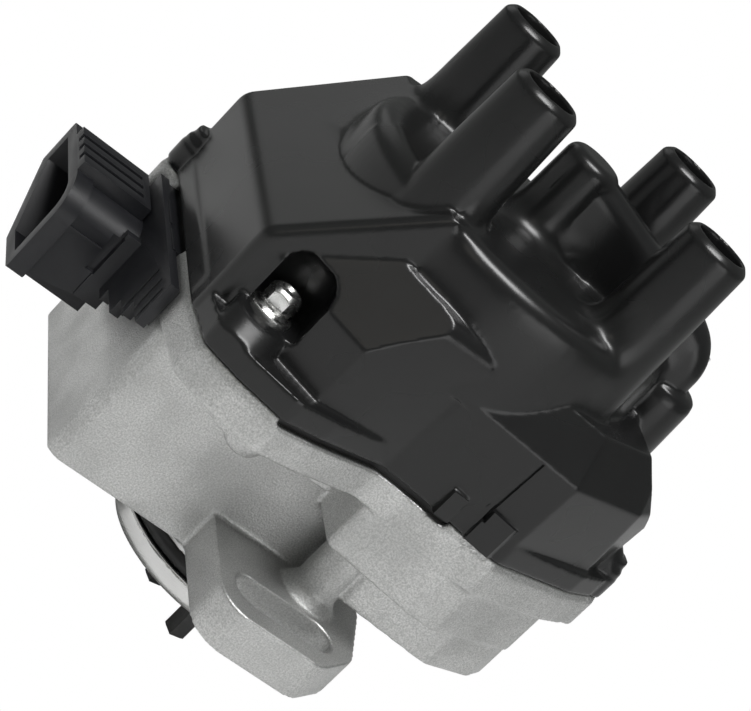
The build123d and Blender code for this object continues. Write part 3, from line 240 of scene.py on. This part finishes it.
ROTOR_BROWN = Finish("rotor_moulding", (0.10, 0.035, 0.018), (0.14, 0.055, 0.03), 0.0, 0.36, 0.06, 0.3, 8.0, 0.01)
DULL_BLACK = Finish("dull_moulding", (0.018, 0.018, 0.018), (0.03, 0.03, 0.03), 0.0, 0.52, 0.06, 0.3, 7.0, 0.02)
CORE_IRON = Finish(
    "core_sheets", (0.20, 0.20, 0.21), (0.09, 0.09, 0.095), 0.8, 0.50, 0.08, 0.5, 9.0, 0.06, Pattern.STACKED
)
CAN = Finish("drawn_can", (0.72, 0.72, 0.72), (0.58, 0.58, 0.58), 1.0, 0.32, 0.06, 0.3, 6.0, 0.01, Pattern.TURNED)

NODE_FINISHES: dict[str, Finish] = {
    "cap_seal": RUBBER,
    "connector_seal": RUBBER,
    "tower_terminals": CAN,
    "side_electrodes": CAN,
    "hv_bar": CAN,
    "coil_terminal": CAN,
    "connector_pins": CAN,
    "carbon_brush": CARBON,
    "brush_spring": SPRING,
    "bearing_circlip": SPRING,
    "rotor_arm": ROTOR_BROWN,
    "dust_shield": ROTOR_BROWN,
    "rotor_blade": BRASS,
    "rotor_screw": ZINC,
    "shield_screws": ZINC,
    "disc_screws": ZINC,
    "pickup_screws": ZINC,
    "coil_screws": ZINC,
    "igniter_screws": ZINC,
    "shaft": STEEL,
    "bearing_outer_ring": STEEL,
    "bearing_inner_ring": STEEL,
    "thrust_washer": STEEL,
    "coupling_pin": STEEL,
    "disc_hub": STEEL,
    "signal_disc": STEEL,
    "disc_clamp": STEEL,
    "bearing_balls": POLISHED,
    "lower_bush": BRONZE,
    "pickup_module": DULL_BLACK,
    "coil_body": DULL_BLACK,
    "igniter": DULL_BLACK,
    "coil_core": CORE_IRON,
    "igniter_plate": CAST,
    "condenser": CAN,
}


class Paintbox:
    """Keeps one material for each finish."""

    def __init__(self) -> None:
        """Builds the shared relief groups."""
        self.reliefs = {pattern: ReliefGroup(pattern) for pattern in Pattern}
        self.made: dict[str, bpy.types.Material] = {}

    def coat(self, piece: bpy.types.Object, finish: Finish) -> None:
        """Gives a piece one finish all over.

        Args:
            piece: the piece.
            finish: its finish.
        """
        if finish.label not in self.made:
            self.made[finish.label] = finish.build(self.reliefs)
        piece.data.materials.clear()
        piece.data.materials.append(self.made[finish.label])

    def add(self, piece: bpy.types.Object, finish: Finish, picks: Callable[[Vector, Vector], bool]) -> None:
        """Gives some faces of a dressed piece a second finish.

        Args:
            piece: the piece.
            finish: the second finish.
            picks: tells from a face's centre and normal whether it takes the finish.
        """
        if finish.label not in self.made:
            self.made[finish.label] = finish.build(self.reliefs)
        piece.data.materials.append(self.made[finish.label])
        slot = len(piece.data.materials) - 1
        for face in piece.data.polygons:
            if picks(face.center, face.normal):
                face.material_index = slot


# ---------------------------------------------------------------- modelling steps
class Bench:
    """Modelling steps that the sub-assemblies share."""

    @staticmethod
    def pick(piece: bpy.types.Object) -> None:
        """Selects one piece alone."""
        bpy.ops.object.select_all(action="DESELECT")
        piece.select_set(True)
        bpy.context.view_layer.objects.active = piece

    @staticmethod
    def copy_node(node: str, name: str) -> bpy.types.Object:
        """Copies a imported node's mesh and merges its loose triangles.

        Args:
            node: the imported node.
            name: the new piece's name.

        Returns:
            The new piece.
        """
        piece = bpy.data.objects.new(name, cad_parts[node].data.copy())
        bpy.context.scene.collection.objects.link(piece)
        Bench.pick(piece)
        bpy.ops.object.mode_set(mode="EDIT")
        bpy.ops.mesh.select_all(action="SELECT")
        bpy.ops.mesh.remove_doubles(threshold=0.002 * MM)
        bpy.ops.object.mode_set(mode="OBJECT")
        return piece

    @staticmethod
    def prism(name: str, points: list[Point], z0: float, z1: float) -> bpy.types.Object:
        """Pulls a plan outline up between two heights.

        Args:
            name: the piece's name.
            points: corners of the outline, in millimetres.
            z0: lower height.
            z1: upper height.

        Returns:
            The closed prism.
        """
        bpy.ops.object.select_all(action="DESELECT")
        bpy.ops.mesh.primitive_circle_add(vertices=len(points), radius=MM, fill_type="NGON")
        piece = bpy.context.object
        piece.name = name
        for vertex, (x, y) in zip(piece.data.vertices, points):
            vertex.co = (x * MM, y * MM, z0 * MM)
        bpy.ops.object.mode_set(mode="EDIT")
        bpy.ops.mesh.select_all(action="SELECT")
        bpy.ops.mesh.extrude_region_move(TRANSFORM_OT_translate={"value": (0, 0, (z1 - z0) * MM)})
        bpy.ops.mesh.select_all(action="SELECT")
        bpy.ops.mesh.normals_make_consistent(inside=False)
        bpy.ops.object.mode_set(mode="OBJECT")
        return piece

    @staticmethod
    def block(name: str, low: Triple, high: Triple) -> bpy.types.Object:
        """Box between two corners, in millimetres."""
        (x0, y0, z0), (x1, y1, z1) = low, high
        return Bench.prism(name, [(x0, y0), (x1, y0), (x1, y1), (x0, y1)], z0, z1)

    @staticmethod
    def hull(name: str, corners: list[Triple]) -> bpy.types.Object:
        """Wraps the tightest closed skin round some points.

        Args:
            name: the piece's name.
            corners: the points, in millimetres.

        Returns:
            The closed solid.
        """
        bpy.ops.object.select_all(action="DESELECT")
        bpy.ops.mesh.primitive_circle_add(vertices=len(corners), radius=MM, fill_type="NOTHING")
        piece = bpy.context.object
        piece.name = name
        for vertex, corner in zip(piece.data.vertices, corners):
            vertex.co = Vector(corner) * MM
        bpy.ops.object.mode_set(mode="EDIT")
        bpy.ops.mesh.select_all(action="SELECT")
        bpy.ops.mesh.delete(type="EDGE_FACE")
        bpy.ops.mesh.select_all(action="SELECT")
        bpy.ops.mesh.convex_hull()
        bpy.ops.mesh.select_all(action="SELECT")
        bpy.ops.mesh.normals_make_consistent(inside=False)
        bpy.ops.object.mode_set(mode="OBJECT")
        return piece

    @staticmethod
    def rings(name: str, circles: list[Ring], steps: int = 40) -> bpy.types.Object:
        """Wraps a skin round level circles.

        Args:
            name: the piece's name.
            circles: centre, height and radius of each circle, in millimetres.
            steps: corners of each circle.

        Returns:
            The closed solid.
        """
        turns = [math.tau * k / steps for k in range(steps)]
        corners = [(x + r * math.cos(a), y + r * math.sin(a), z) for x, y, z, r in circles for a in turns]
        return Bench.hull(name, corners)

    @staticmethod
    def lathe(name: str, profile: list[Point], centre: Point = (0.0, 0.0), steps: int = 96) -> bpy.types.Object:
        """Spins a closed profile round an upright axis.

        Args:
            name: the piece's name.
            profile: radius and height of each corner, in millimetres.
            centre: plan place of the axis.
            steps: flats round the turn.

        Returns:
            The closed ring or solid.
        """
        bpy.ops.object.select_all(action="DESELECT")
        bpy.ops.mesh.primitive_circle_add(vertices=len(profile), radius=MM, fill_type="NOTHING")
        piece = bpy.context.object
        piece.name = name
        for vertex, (radius, z) in zip(piece.data.vertices, profile):
            vertex.co = ((centre[0] + radius) * MM, centre[1] * MM, z * MM)
        bpy.ops.object.mode_set(mode="EDIT")
        bpy.ops.mesh.select_all(action="SELECT")
        middle = (centre[0] * MM, centre[1] * MM, 0.0)
        bpy.ops.mesh.spin(steps=steps, angle=math.tau, center=middle, axis=(0, 0, 1))
        bpy.ops.mesh.select_all(action="SELECT")
        bpy.ops.mesh.remove_doubles(threshold=0.001 * MM)
        bpy.ops.mesh.delete_loose()
        bpy.ops.mesh.select_all(action="SELECT")
        bpy.ops.mesh.normals_make_consistent(inside=False)
        bpy.ops.object.mode_set(mode="OBJECT")
        return piece

    @staticmethod
    def join(pieces: list[bpy.types.Object]) -> bpy.types.Object:
        """Joins pieces into the first one.

        Args:
            pieces: the pieces, the one that stays first.

        Returns:
            The joined piece.
        """
        bpy.ops.object.select_all(action="DESELECT")
        for piece in pieces:
            piece.select_set(True)
        bpy.context.view_layer.objects.active = pieces[0]
        bpy.ops.object.join()
        return pieces[0]

    @staticmethod
    def finish_modifier(piece: bpy.types.Object, kind: str, **settings: object) -> None:
        """Adds a modifier and applies it.

        Args:
            piece: the piece.
            kind: the modifier's type.
            **settings: its settings.
        """
        Bench.pick(piece)
        modifier = piece.modifiers.new(kind.lower(), kind)
        for key, value in settings.items():
            setattr(modifier, key, value)
        bpy.ops.object.modifier_apply(modifier=modifier.name)

    @staticmethod
    def cut(piece: bpy.types.Object, tool: bpy.types.Object, way: str = "DIFFERENCE") -> None:
        """Cuts a piece with a tool, and takes the tool away.

        Args:
            piece: the piece.
            tool: the closed tool.
            way: the boolean operation.
        """
        Bench.finish_modifier(piece, "BOOLEAN", object=tool, operation=way, solver="MANIFOLD")
        bpy.data.objects.remove(tool, do_unlink=True)

    @staticmethod
    def mould(piece: bpy.types.Object, voxel: float, passes: int, triangles: int) -> None:
        """Skins a piece anew with soft edges, as a moulding or a casting has.

        Args:
            piece: closed forms that may run into each other.
            voxel: size of the skin's cells in millimetres.
            passes: smoothing passes.
            triangles: most triangles that the piece keeps.
        """
        Bench.finish_modifier(piece, "REMESH", mode="VOXEL", voxel_size=voxel * MM, use_smooth_shade=True)
        Bench.finish_modifier(piece, "SMOOTH", factor=0.5, iterations=passes)
        count = 2 * len(piece.data.polygons)
        if count > triangles:
            Bench.finish_modifier(piece, "DECIMATE", ratio=triangles / count)
        Bench.shade(piece, 60.0)

    @staticmethod
    def shade(piece: bpy.types.Object, degrees: float) -> None:
        """Smooths the shading where faces meet at less than an angle."""
        Bench.pick(piece)
        bpy.ops.object.shade_smooth_by_angle(angle=math.radians(degrees))

    @staticmethod
    def soften(piece: bpy.types.Object, width: float, degrees: float = 30.0, segments: int = 3) -> None:
        """Rounds the sharp edges of a crisp piece.

        Args:
            piece: the piece.
            width: width of the rounding in millimetres.
            degrees: least angle that counts as an edge.
            segments: facets across each rounding.
        """
        Bench.finish_modifier(piece, "DECIMATE", decimate_type="DISSOLVE", angle_limit=math.radians(0.8))
        Bench.finish_modifier(
            piece,
            "BEVEL",
            width=width * MM,
            segments=segments,
            angle_limit=math.radians(degrees),
            use_clamp_overlap=True,
        )
        Bench.finish_modifier(piece, "WEIGHTED_NORMAL", keep_sharp=True)


# ---------------------------------------------------------------- studio
@dataclass(frozen=True)
class Lamp:
    """One soft lamp.

    Attributes:
        name: the lamp's name.
        place: where it stands, in millimetres.
        size: width and height, in millimetres.
        power: its power in watts.
        aim: the point it looks at.
        tint: colour of its light.
    """

    name: str
    place: Triple
    size: Point
    power: float
    aim: Triple = (0.0, 0.0, 50.0)
    tint: Triple = (1.0, 1.0, 1.0)

    def build(self) -> None:
        """Hangs the lamp."""
        data = bpy.data.lights.new(self.name, "AREA")
        data.shape = "RECTANGLE"
        data.size, data.size_y = self.size[0] * MM, self.size[1] * MM
        data.energy = self.power
        data.color = self.tint
        lamp = bpy.data.objects.new(self.name, data)
        bpy.context.scene.collection.objects.link(lamp)
        lamp.location = Vector(self.place) * MM
        away = Vector(self.place) - Vector(self.aim)
        lamp.rotation_euler = away.to_track_quat("Z", "Y").to_euler()


@dataclass
class Studio:
    """Floor, soft light and camera."""

    eye: Triple = (-225.46, -464.33, 215.49)
    azimuth: float = -25.4
    elevation: float = 17.33
    turn: float = 44.895
    focal_pixels: float = 2409.5
    image_width: float = 751.0
    sensor: float = 36.0
    floor_z: float = -27.0
    floor_reach: float = 6000.0
    lamps: list[Lamp] = field(
        default_factory=lambda: [
            Lamp("overhead", (-150.0, -330.0, 1150.0), (700.0, 350.0), 11.5),
            Lamp("back_left", (-500.0, 1400.0, 700.0), (900.0, 700.0), 0.7),
            Lamp("left_card", (-760.0, -830.0, 830.0), (420.0, 420.0), 0.35, tint=(1.0, 0.94, 0.84)),
            Lamp("front_fill", (450.0, -1300.0, 200.0), (900.0, 500.0), 2.3),
        ]
    )

    def build(self) -> None:
        """Sets up the whole studio."""
        self._camera()
        self._floor()
        self._world()
        for lamp in self.lamps:
            lamp.build()
        bpy.context.scene.view_settings.view_transform = "Standard"

    def _camera(self) -> None:
        """Places the camera, turned about its line of sight."""
        azimuth, elevation = math.radians(self.azimuth), math.radians(self.elevation)
        back = Vector(
            (math.sin(azimuth) * math.cos(elevation), -math.cos(azimuth) * math.cos(elevation), math.sin(elevation))
        )
        right = Vector((math.cos(azimuth), math.sin(azimuth), 0.0))
        up = back.cross(right)
        turn = math.radians(self.turn)
        right, up = right * math.cos(turn) + up * math.sin(turn), up * math.cos(turn) - right * math.sin(turn)
        data = bpy.data.cameras.new("camera")
        data.sensor_fit = "HORIZONTAL"
        data.sensor_width = self.sensor
        data.lens = self.focal_pixels / self.image_width * self.sensor
        data.clip_start, data.clip_end = 0.01, 50.0
        camera = bpy.data.objects.new("camera", data)
        bpy.context.scene.collection.objects.link(camera)
        pose = Matrix((right, up, back)).transposed().to_4x4()
        pose.translation = Vector(self.eye) * MM
        camera.matrix_world = pose
        bpy.context.scene.camera = camera

    def _floor(self) -> None:
        """Lays a pale floor under the dogs, white to the camera."""
        bpy.ops.object.select_all(action="DESELECT")
        bpy.ops.mesh.primitive_plane_add(size=self.floor_reach * MM)
        floor = bpy.context.object
        floor.name = "floor"
        for vertex in floor.data.vertices:
            vertex.co.z = self.floor_z * MM
        material = bpy.data.materials.new("floor_white")
        material.use_nodes = True
        nodes, links = material.node_tree.nodes, material.node_tree.links
        shader = nodes["Principled BSDF"]
        shader.inputs["Base Color"].default_value = (0.82, 0.82, 0.82, 1.0)
        shader.inputs["Roughness"].default_value = 0.9
        glow = nodes.new("ShaderNodeEmission")
        path = nodes.new("ShaderNodeLightPath")
        mix = nodes.new("ShaderNodeMixShader")
        links.new(path.outputs["Is Camera Ray"], mix.inputs["Fac"])
        links.new(shader.outputs["BSDF"], mix.inputs[1])
        links.new(glow.outputs["Emission"], mix.inputs[2])
        links.new(mix.outputs["Shader"], nodes["Material Output"].inputs["Surface"])
        floor.data.materials.append(material)

    def _world(self) -> None:
        """White to the camera, and a dim room for everything else."""
        world = bpy.data.worlds.new("studio")
        world.use_nodes = True
        bpy.context.scene.world = world
        nodes, links = world.node_tree.nodes, world.node_tree.links
        room = nodes["Background"]
        room.inputs["Color"].default_value = (0.13, 0.134, 0.13, 1.0)
        white = nodes.new("ShaderNodeBackground")
        white.inputs["Color"].default_value = (1.0, 1.0, 1.0, 1.0)
        path = nodes.new("ShaderNodeLightPath")
        mix = nodes.new("ShaderNodeMixShader")
        links.new(path.outputs["Is Camera Ray"], mix.inputs["Fac"])
        links.new(room.outputs["Background"], mix.inputs[1])
        links.new(white.outputs["Background"], mix.inputs[2])
        links.new(mix.outputs["Shader"], nodes["World Output"].inputs["Surface"])


# ---------------------------------------------------------------- sub-assemblies
@dataclass
class MouldedCap:
    """The black cap with its towers, ridge, screw corner and front marks."""

    paint: Paintbox
    voxel: float = 0.5
    passes: int = 5
    triangles: int = 190000
    base: float = 49.45
    seat: float = 59.5
    crown: Point = (86.0, 110.0)
    crown_fades: Point = (2.0, 4.0)
    crown_radius: float = 45.0
    crown_left: float = -28.0
    crown_passes: int = 90
    lobes: tuple[tuple[float, float, float], ...] = ((61.0, -22.5, -1.0), (-53.6, 40.3, 1.0))
    lobe_rings: tuple[Triple, ...] = ((0.0, 49.45, 5.3), (0.0, 57.0, 5.1), (2.0, 60.5, 4.4), (5.0, 63.0, 4.4))
    rear_boss: tuple[Ring, ...] = (
        (47.4, -7.7, 70.0, 9.6), (47.4, -7.7, 92.6, 8.6), (47.4, -7.7, 94.6, 8.0), (47.4, -7.7, 95.5, 6.6),
    )
    screw: Point = (-43.5, -30.5)
    screw_hole: float = 2.5
    screw_wall: tuple[Point, ...] = ((-50.3, -30.6), (-36.5, -40.3))
    screw_back: tuple[Point, ...] = ((-33.0, -31.0), (-35.0, -21.0), (-47.0, -21.0), (-50.3, -26.0))
    facet_foot: float = 70.2
    fill_top: float = 73.4
    fill_lean: Point = (1.1, 1.4)
    boss_rings: tuple[Ring, ...] = (
        (0.0, 0.0, 59.5, 7.2), (-1.2, -2.6, 58.9, 7.0), (-2.8, -6.6, 55.5, 7.0),
        (0.0, 0.0, 49.45, 7.3), (-2.8, -6.6, 49.45, 7.1),
    )
    niche_plan: tuple[Triple, ...] = ((0.9, -0.5, 6.6), (-1.0, -9.0, 6.1))
    niche_levels: tuple[Point, ...] = ((59.5, 1.0), (70.0, 1.0), (72.2, 0.93), (74.0, 0.76), (75.2, 0.45))
    ledge: tuple[Point, ...] = ((18.8, -40.5), (18.8, -44.9), (25.0, -46.5), (26.4, -45.5), (26.4, -40.5))
    ledge_top: float = 58.5
    tab: tuple[Point, ...] = ((10.0, -38.5), (10.0, -43.5), (14.0, -43.5), (14.0, -38.5))
    tab_top: float = 56.5
    groove_foot: tuple[Point, ...] = ((18.8, -42.9), (18.8, -52.0), (19.5, -42.9), (19.5, -52.0))
    groove_heights: Point = (55.2, 74.0)
    groove_lean: Point = (-0.7, -2.8)

    def build(self) -> None:
        """Builds and dresses the cap."""
        cap = Bench.copy_node("cap", "cap_skin")
        self._screw_corner(cap)
        Bench.cut(cap, Bench.rings("rear_boss", list(self.rear_boss)), "UNION")
        for x, y, way in self.lobes:
            lobe = [(x + reach * way, y, z, radius) for reach, z, radius in self.lobe_rings]
            Bench.cut(cap, Bench.rings("lobe", lobe), "UNION")
        Bench.mould(cap, self.voxel, self.passes, self.triangles)
        self._soften_crown(cap)
        self._front_marks(cap)
        Bench.shade(cap, 50.0)
        self.paint.coat(cap, CAP_BLACK)
        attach(cap, "base")
        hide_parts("cap")
        LOG.info("cap: %d faces", len(cap.data.polygons))

    def _soften_crown(self, cap: bpy.types.Object) -> None:
        """Melts the drum's crown into the feet of the towers and the post.

        Args:
            cap: the moulded cap.
        """
        low, high = self.crown
        rise, fall = self.crown_fades
        crown = cap.vertex_groups.new(name="crown")
        for vertex in cap.data.vertices:
            x, y, z = vertex.co / MM
            inside = math.hypot(x, y) < self.crown_radius and (x > self.crown_left or y > 0.0)
            if low < z < high and inside:
                weight = min(1.0, (z - low) / rise, (high - z) / fall)
                crown.add([vertex.index], weight, "REPLACE")
        Bench.finish_modifier(cap, "SMOOTH", factor=0.5, iterations=self.crown_passes, vertex_group="crown")

    def _screw_corner(self, cap: bpy.types.Object) -> None:
        """Models the boss and the open niche of the front screw.

        Args:
            cap: the cap.
        """
        x, y = self.screw
        lean_x, lean_y = self.fill_lean
        fill = [(*p, z) for p in self.screw_wall + self.screw_back for z in (self.seat - 0.2, self.facet_foot)]
        fill += [(px + lean_x, py + lean_y, self.fill_top) for px, py in self.screw_wall]
        fill += [(*p, self.fill_top) for p in self.screw_back]
        Bench.cut(cap, Bench.hull("fill", fill), "UNION")
        boss = [(x + dx, y + dy, z, radius) for dx, dy, z, radius in self.boss_rings]
        Bench.cut(cap, Bench.rings("boss", boss), "UNION")
        room = [
            (x + dx, y + dy, z, radius * share)
            for dx, dy, radius in self.niche_plan
            for z, share in self.niche_levels
        ]
        Bench.cut(cap, Bench.rings("niche", room))
        hole = [(x, y, z, self.screw_hole) for z in (self.base - 1.0, self.seat + 1.0)]
        Bench.cut(cap, Bench.rings("hole", hole))

    def _front_marks(self, cap: bpy.types.Object) -> None:
        """Adds the crisp tab and ledge of the front wall and cuts its upright groove.

        Args:
            cap: the moulded cap.
        """
        foot = self.base + 0.2
        Bench.cut(cap, Bench.prism("ledge", list(self.ledge), foot, self.ledge_top), "UNION")
        Bench.cut(cap, Bench.prism("tab", list(self.tab), foot, self.tab_top), "UNION")
        low, high = self.groove_heights
        lean_x, lean_y = self.groove_lean
        corners = [(x, y, low) for x, y in self.groove_foot]
        corners += [(x + lean_x, y + lean_y, high) for x, y in self.groove_foot]
        Bench.cut(cap, Bench.hull("groove", corners))


@dataclass
class CastHousing:
    """The die-cast housing."""

    paint: Paintbox
    voxel: float = 0.55
    passes: int = 3
    triangles: int = 190000
    rim_boss: tuple[Ring, ...] = (
        (-33.2, -42.5, 44.0, 5.4), (-33.2, -42.5, 38.6, 5.2), (-33.2, -42.5, 36.2, 3.9), (-33.2, -42.5, 35.0, 1.6),
    )
    collar_top: float = -0.4
    collar_inner: float = 20.0
    seat_gap: float = 0.25
    seat_facing: float = -0.9

    def build(self) -> None:
        """Builds and dresses the housing."""
        body = Bench.copy_node("housing", "housing_casting")
        Bench.cut(body, Bench.rings("rim_boss", list(self.rim_boss)), "UNION")
        Bench.mould(body, self.voxel, self.passes, self.triangles)
        self.paint.coat(body, CAST)
        self.paint.add(body, MACHINED, self._is_machined)
        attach(body, "base")
        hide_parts("housing")
        LOG.info("housing: %d faces", len(body.data.polygons))

    def _is_machined(self, centre: Vector, normal: Vector) -> bool:
        """Tells whether a face belongs to the turned collar or the seat."""
        x, y, z = centre / MM
        radius = math.hypot(x, y)
        turned = z < self.collar_top and radius > self.collar_inner
        return turned or abs(z) < self.seat_gap and normal.z < self.seat_facing


@dataclass
class Connector:
    """The side connector with its step, window, flange grooves and top ribs."""

    paint: Paintbox
    near_face: float = 11.0
    front: float = 8.0
    carrier: tuple[Point, Point] = ((-63.3, -56.9), (20.6, 39.5))
    carrier_depths: Point = (-0.6, 2.0)
    window: tuple[Point, Point] = ((-65.2, -62.9), (27.0, 38.3))
    window_depth: float = 1.4
    step_left: float = -74.4
    step_heights: Point = (33.0, 60.0)
    step_depth: float = 0.6
    flange_x: float = -59.5
    groove_half: float = 0.45
    groove_depth: float = 0.9
    groove_drop: float = 9.0
    grooves: tuple[Triple, ...] = ((-8.9, 29.0, 44.5), (-14.0, 33.0, 45.0), (-18.2, 36.0, 45.0))
    top_ribs: tuple[Point, ...] = ((-2.6, 7.2), (10.0, 21.7))
    rib_sides: Point = (-58.2, -57.5)
    rib_heights: Point = (47.2, 47.95)
    edge: float = 0.3

    def build(self) -> None:
        """Builds and dresses the connector."""
        body = Bench.copy_node("connector_shell", "connector_body")
        (x0, x1), (z0, z1) = self.carrier
        y0, y1 = (self.near_face + depth for depth in self.carrier_depths)
        Bench.cut(body, Bench.block("carrier", (x0, y0, z0), (x1, y1, z1)), "UNION")
        (x0, x1), (z0, z1) = self.window
        window = Bench.block("window", (x0, self.front, z0), (x1, self.near_face + self.window_depth, z1))
        Bench.cut(body, window)
        low, high = self.step_heights
        step = Bench.block("step", (self.step_left, self.front, low), (x0, self.near_face + self.step_depth, high))
        Bench.cut(body, step)
        for y, low, high in self.grooves:
            near = (self.flange_x - 1.0, y - self.groove_half, low - self.groove_drop)
            far = (self.flange_x + self.groove_depth, y + self.groove_half, high)
            Bench.cut(body, Bench.block("groove", near, far))
        (x0, x1), (z0, z1) = self.rib_sides, self.rib_heights
        for y0, y1 in self.top_ribs:
            Bench.cut(body, Bench.block("rib", (x0, y0, z0), (x1, y1, z1)), "UNION")
        Bench.soften(body, self.edge)
        Bench.shade(body, 35.0)
        self.paint.coat(body, CONNECTOR_BLACK)
        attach(body, "base")
        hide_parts("connector_shell")
        LOG.info("connector: %d faces", len(body.data.polygons))


@dataclass
class CapScrews:
    """Flanged screws with spring washers that hold the cap."""

    paint: Paintbox
    places: tuple[Point, ...] = ((-43.5, -30.5), (62.5, 8.0), (-34.0, 48.0))
    seat: float = 59.5
    shank: float = 2.5
    stack: tuple[Point, ...] = (
        (2.5, 0.0), (5.2, 0.0), (5.2, 0.75), (4.85, 1.0), (3.75, 1.0), (3.75, 1.5),
        (3.3, 1.65), (3.75, 1.8), (3.75, 2.3), (3.25, 2.45), (3.25, 2.6), (0.0, 2.6),
    )
    hexagon: float = 4.1
    hexagon_turn: float = 35.0
    hexagon_heights: Point = (2.5, 6.4)
    crown: tuple[Point, ...] = (
        (0.0, 2.4), (4.2, 2.4), (4.2, 4.9), (2.9, 6.4), (2.5, 6.4), (1.8, 5.6), (0.0, 5.5),
    )
    edge: float = 0.25

    def build(self) -> None:
        """Builds and dresses the screws."""
        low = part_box("cap_screws")[0][2] / MM
        pieces = [self._screw(index, place, low) for index, place in enumerate(self.places)]
        screws = Bench.join(pieces)
        screws.name = "cap_bolts"
        Bench.shade(screws, 35.0)
        self.paint.coat(screws, ZINC)
        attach(screws, "base")
        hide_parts("cap_screws")
        LOG.info("cap screws: %d faces", len(screws.data.polygons))

    def _screw(self, index: int, place: Point, low: float) -> bpy.types.Object:
        """Models one screw with its washers.

        Args:
            index: number of the screw.
            place: plan place of its axis.
            low: height of its tip.

        Returns:
            The screw.
        """
        x, y = place
        profile = [(0.0, low), (self.shank, low)] + [(radius, self.seat + z) for radius, z in self.stack]
        screw = Bench.lathe(f"screw_{index}", profile, place, 64)
        turns = [math.radians(60.0 * k + self.hexagon_turn) for k in range(6)]
        corners = [(x + self.hexagon * math.cos(a), y + self.hexagon * math.sin(a)) for a in turns]
        foot, top = self.hexagon_heights
        head = Bench.prism("head", corners, self.seat + foot, self.seat + top)
        crown = [(radius, self.seat + z) for radius, z in self.crown]
        Bench.cut(head, Bench.lathe("crown", crown, place, 64), "INTERSECT")
        Bench.soften(head, self.edge)
        return Bench.join([screw, head])


@dataclass
class SmallParts:
    """Seals and drive parts that show outside."""

    paint: Paintbox

    def build(self) -> None:
        """Builds and dresses each small part."""
        self._crisp("drive_coupling", "coupling_dogs", "rotor", DARK_STEEL, 0.3)
        self._crisp("o_ring", "collar_seal", "base", RUBBER, 0.0)

    def _crisp(self, node: str, name: str, body: str, finish: Finish, width: float) -> None:
        """Replaces a node by a copy with smooth shading and softened edges.

        Args:
            node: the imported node.
            name: the new piece's name.
            body: the body it rides on.
            finish: its finish.
            width: width of the softened edges in millimetres, or 0 for none.
        """
        piece = Bench.copy_node(node, name)
        if width:
            Bench.soften(piece, width)
        Bench.shade(piece, 35.0)
        self.paint.coat(piece, finish)
        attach(piece, body)
        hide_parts(node)
        LOG.info("%s: %d faces", name, len(piece.data.polygons))


def dress_nodes(paint: Paintbox) -> None:
    """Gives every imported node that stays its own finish.

    Args:
        paint: the materials.
    """
    for node, finish in NODE_FINISHES.items():
        paint.coat(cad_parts[node], finish)
        LOG.info("%s dressed as %s", node, finish.label)


def main() -> None:
    """Builds the scene in order."""
    logging.basicConfig(level=logging.INFO, format="%(name)s %(message)s")
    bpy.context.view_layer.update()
    paint = Paintbox()
    Studio().build()
    dress_nodes(paint)
    for assembly in (MouldedCap(paint), CastHousing(paint), Connector(paint), CapScrews(paint), SmallParts(paint)):
        assembly.build()


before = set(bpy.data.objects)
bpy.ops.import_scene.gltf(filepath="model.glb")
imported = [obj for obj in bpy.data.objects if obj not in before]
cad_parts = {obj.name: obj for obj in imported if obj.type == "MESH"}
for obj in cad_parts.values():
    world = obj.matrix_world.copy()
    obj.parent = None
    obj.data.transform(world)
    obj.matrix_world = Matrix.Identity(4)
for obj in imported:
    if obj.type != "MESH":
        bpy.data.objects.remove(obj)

if __name__ == "__main__":
    main()
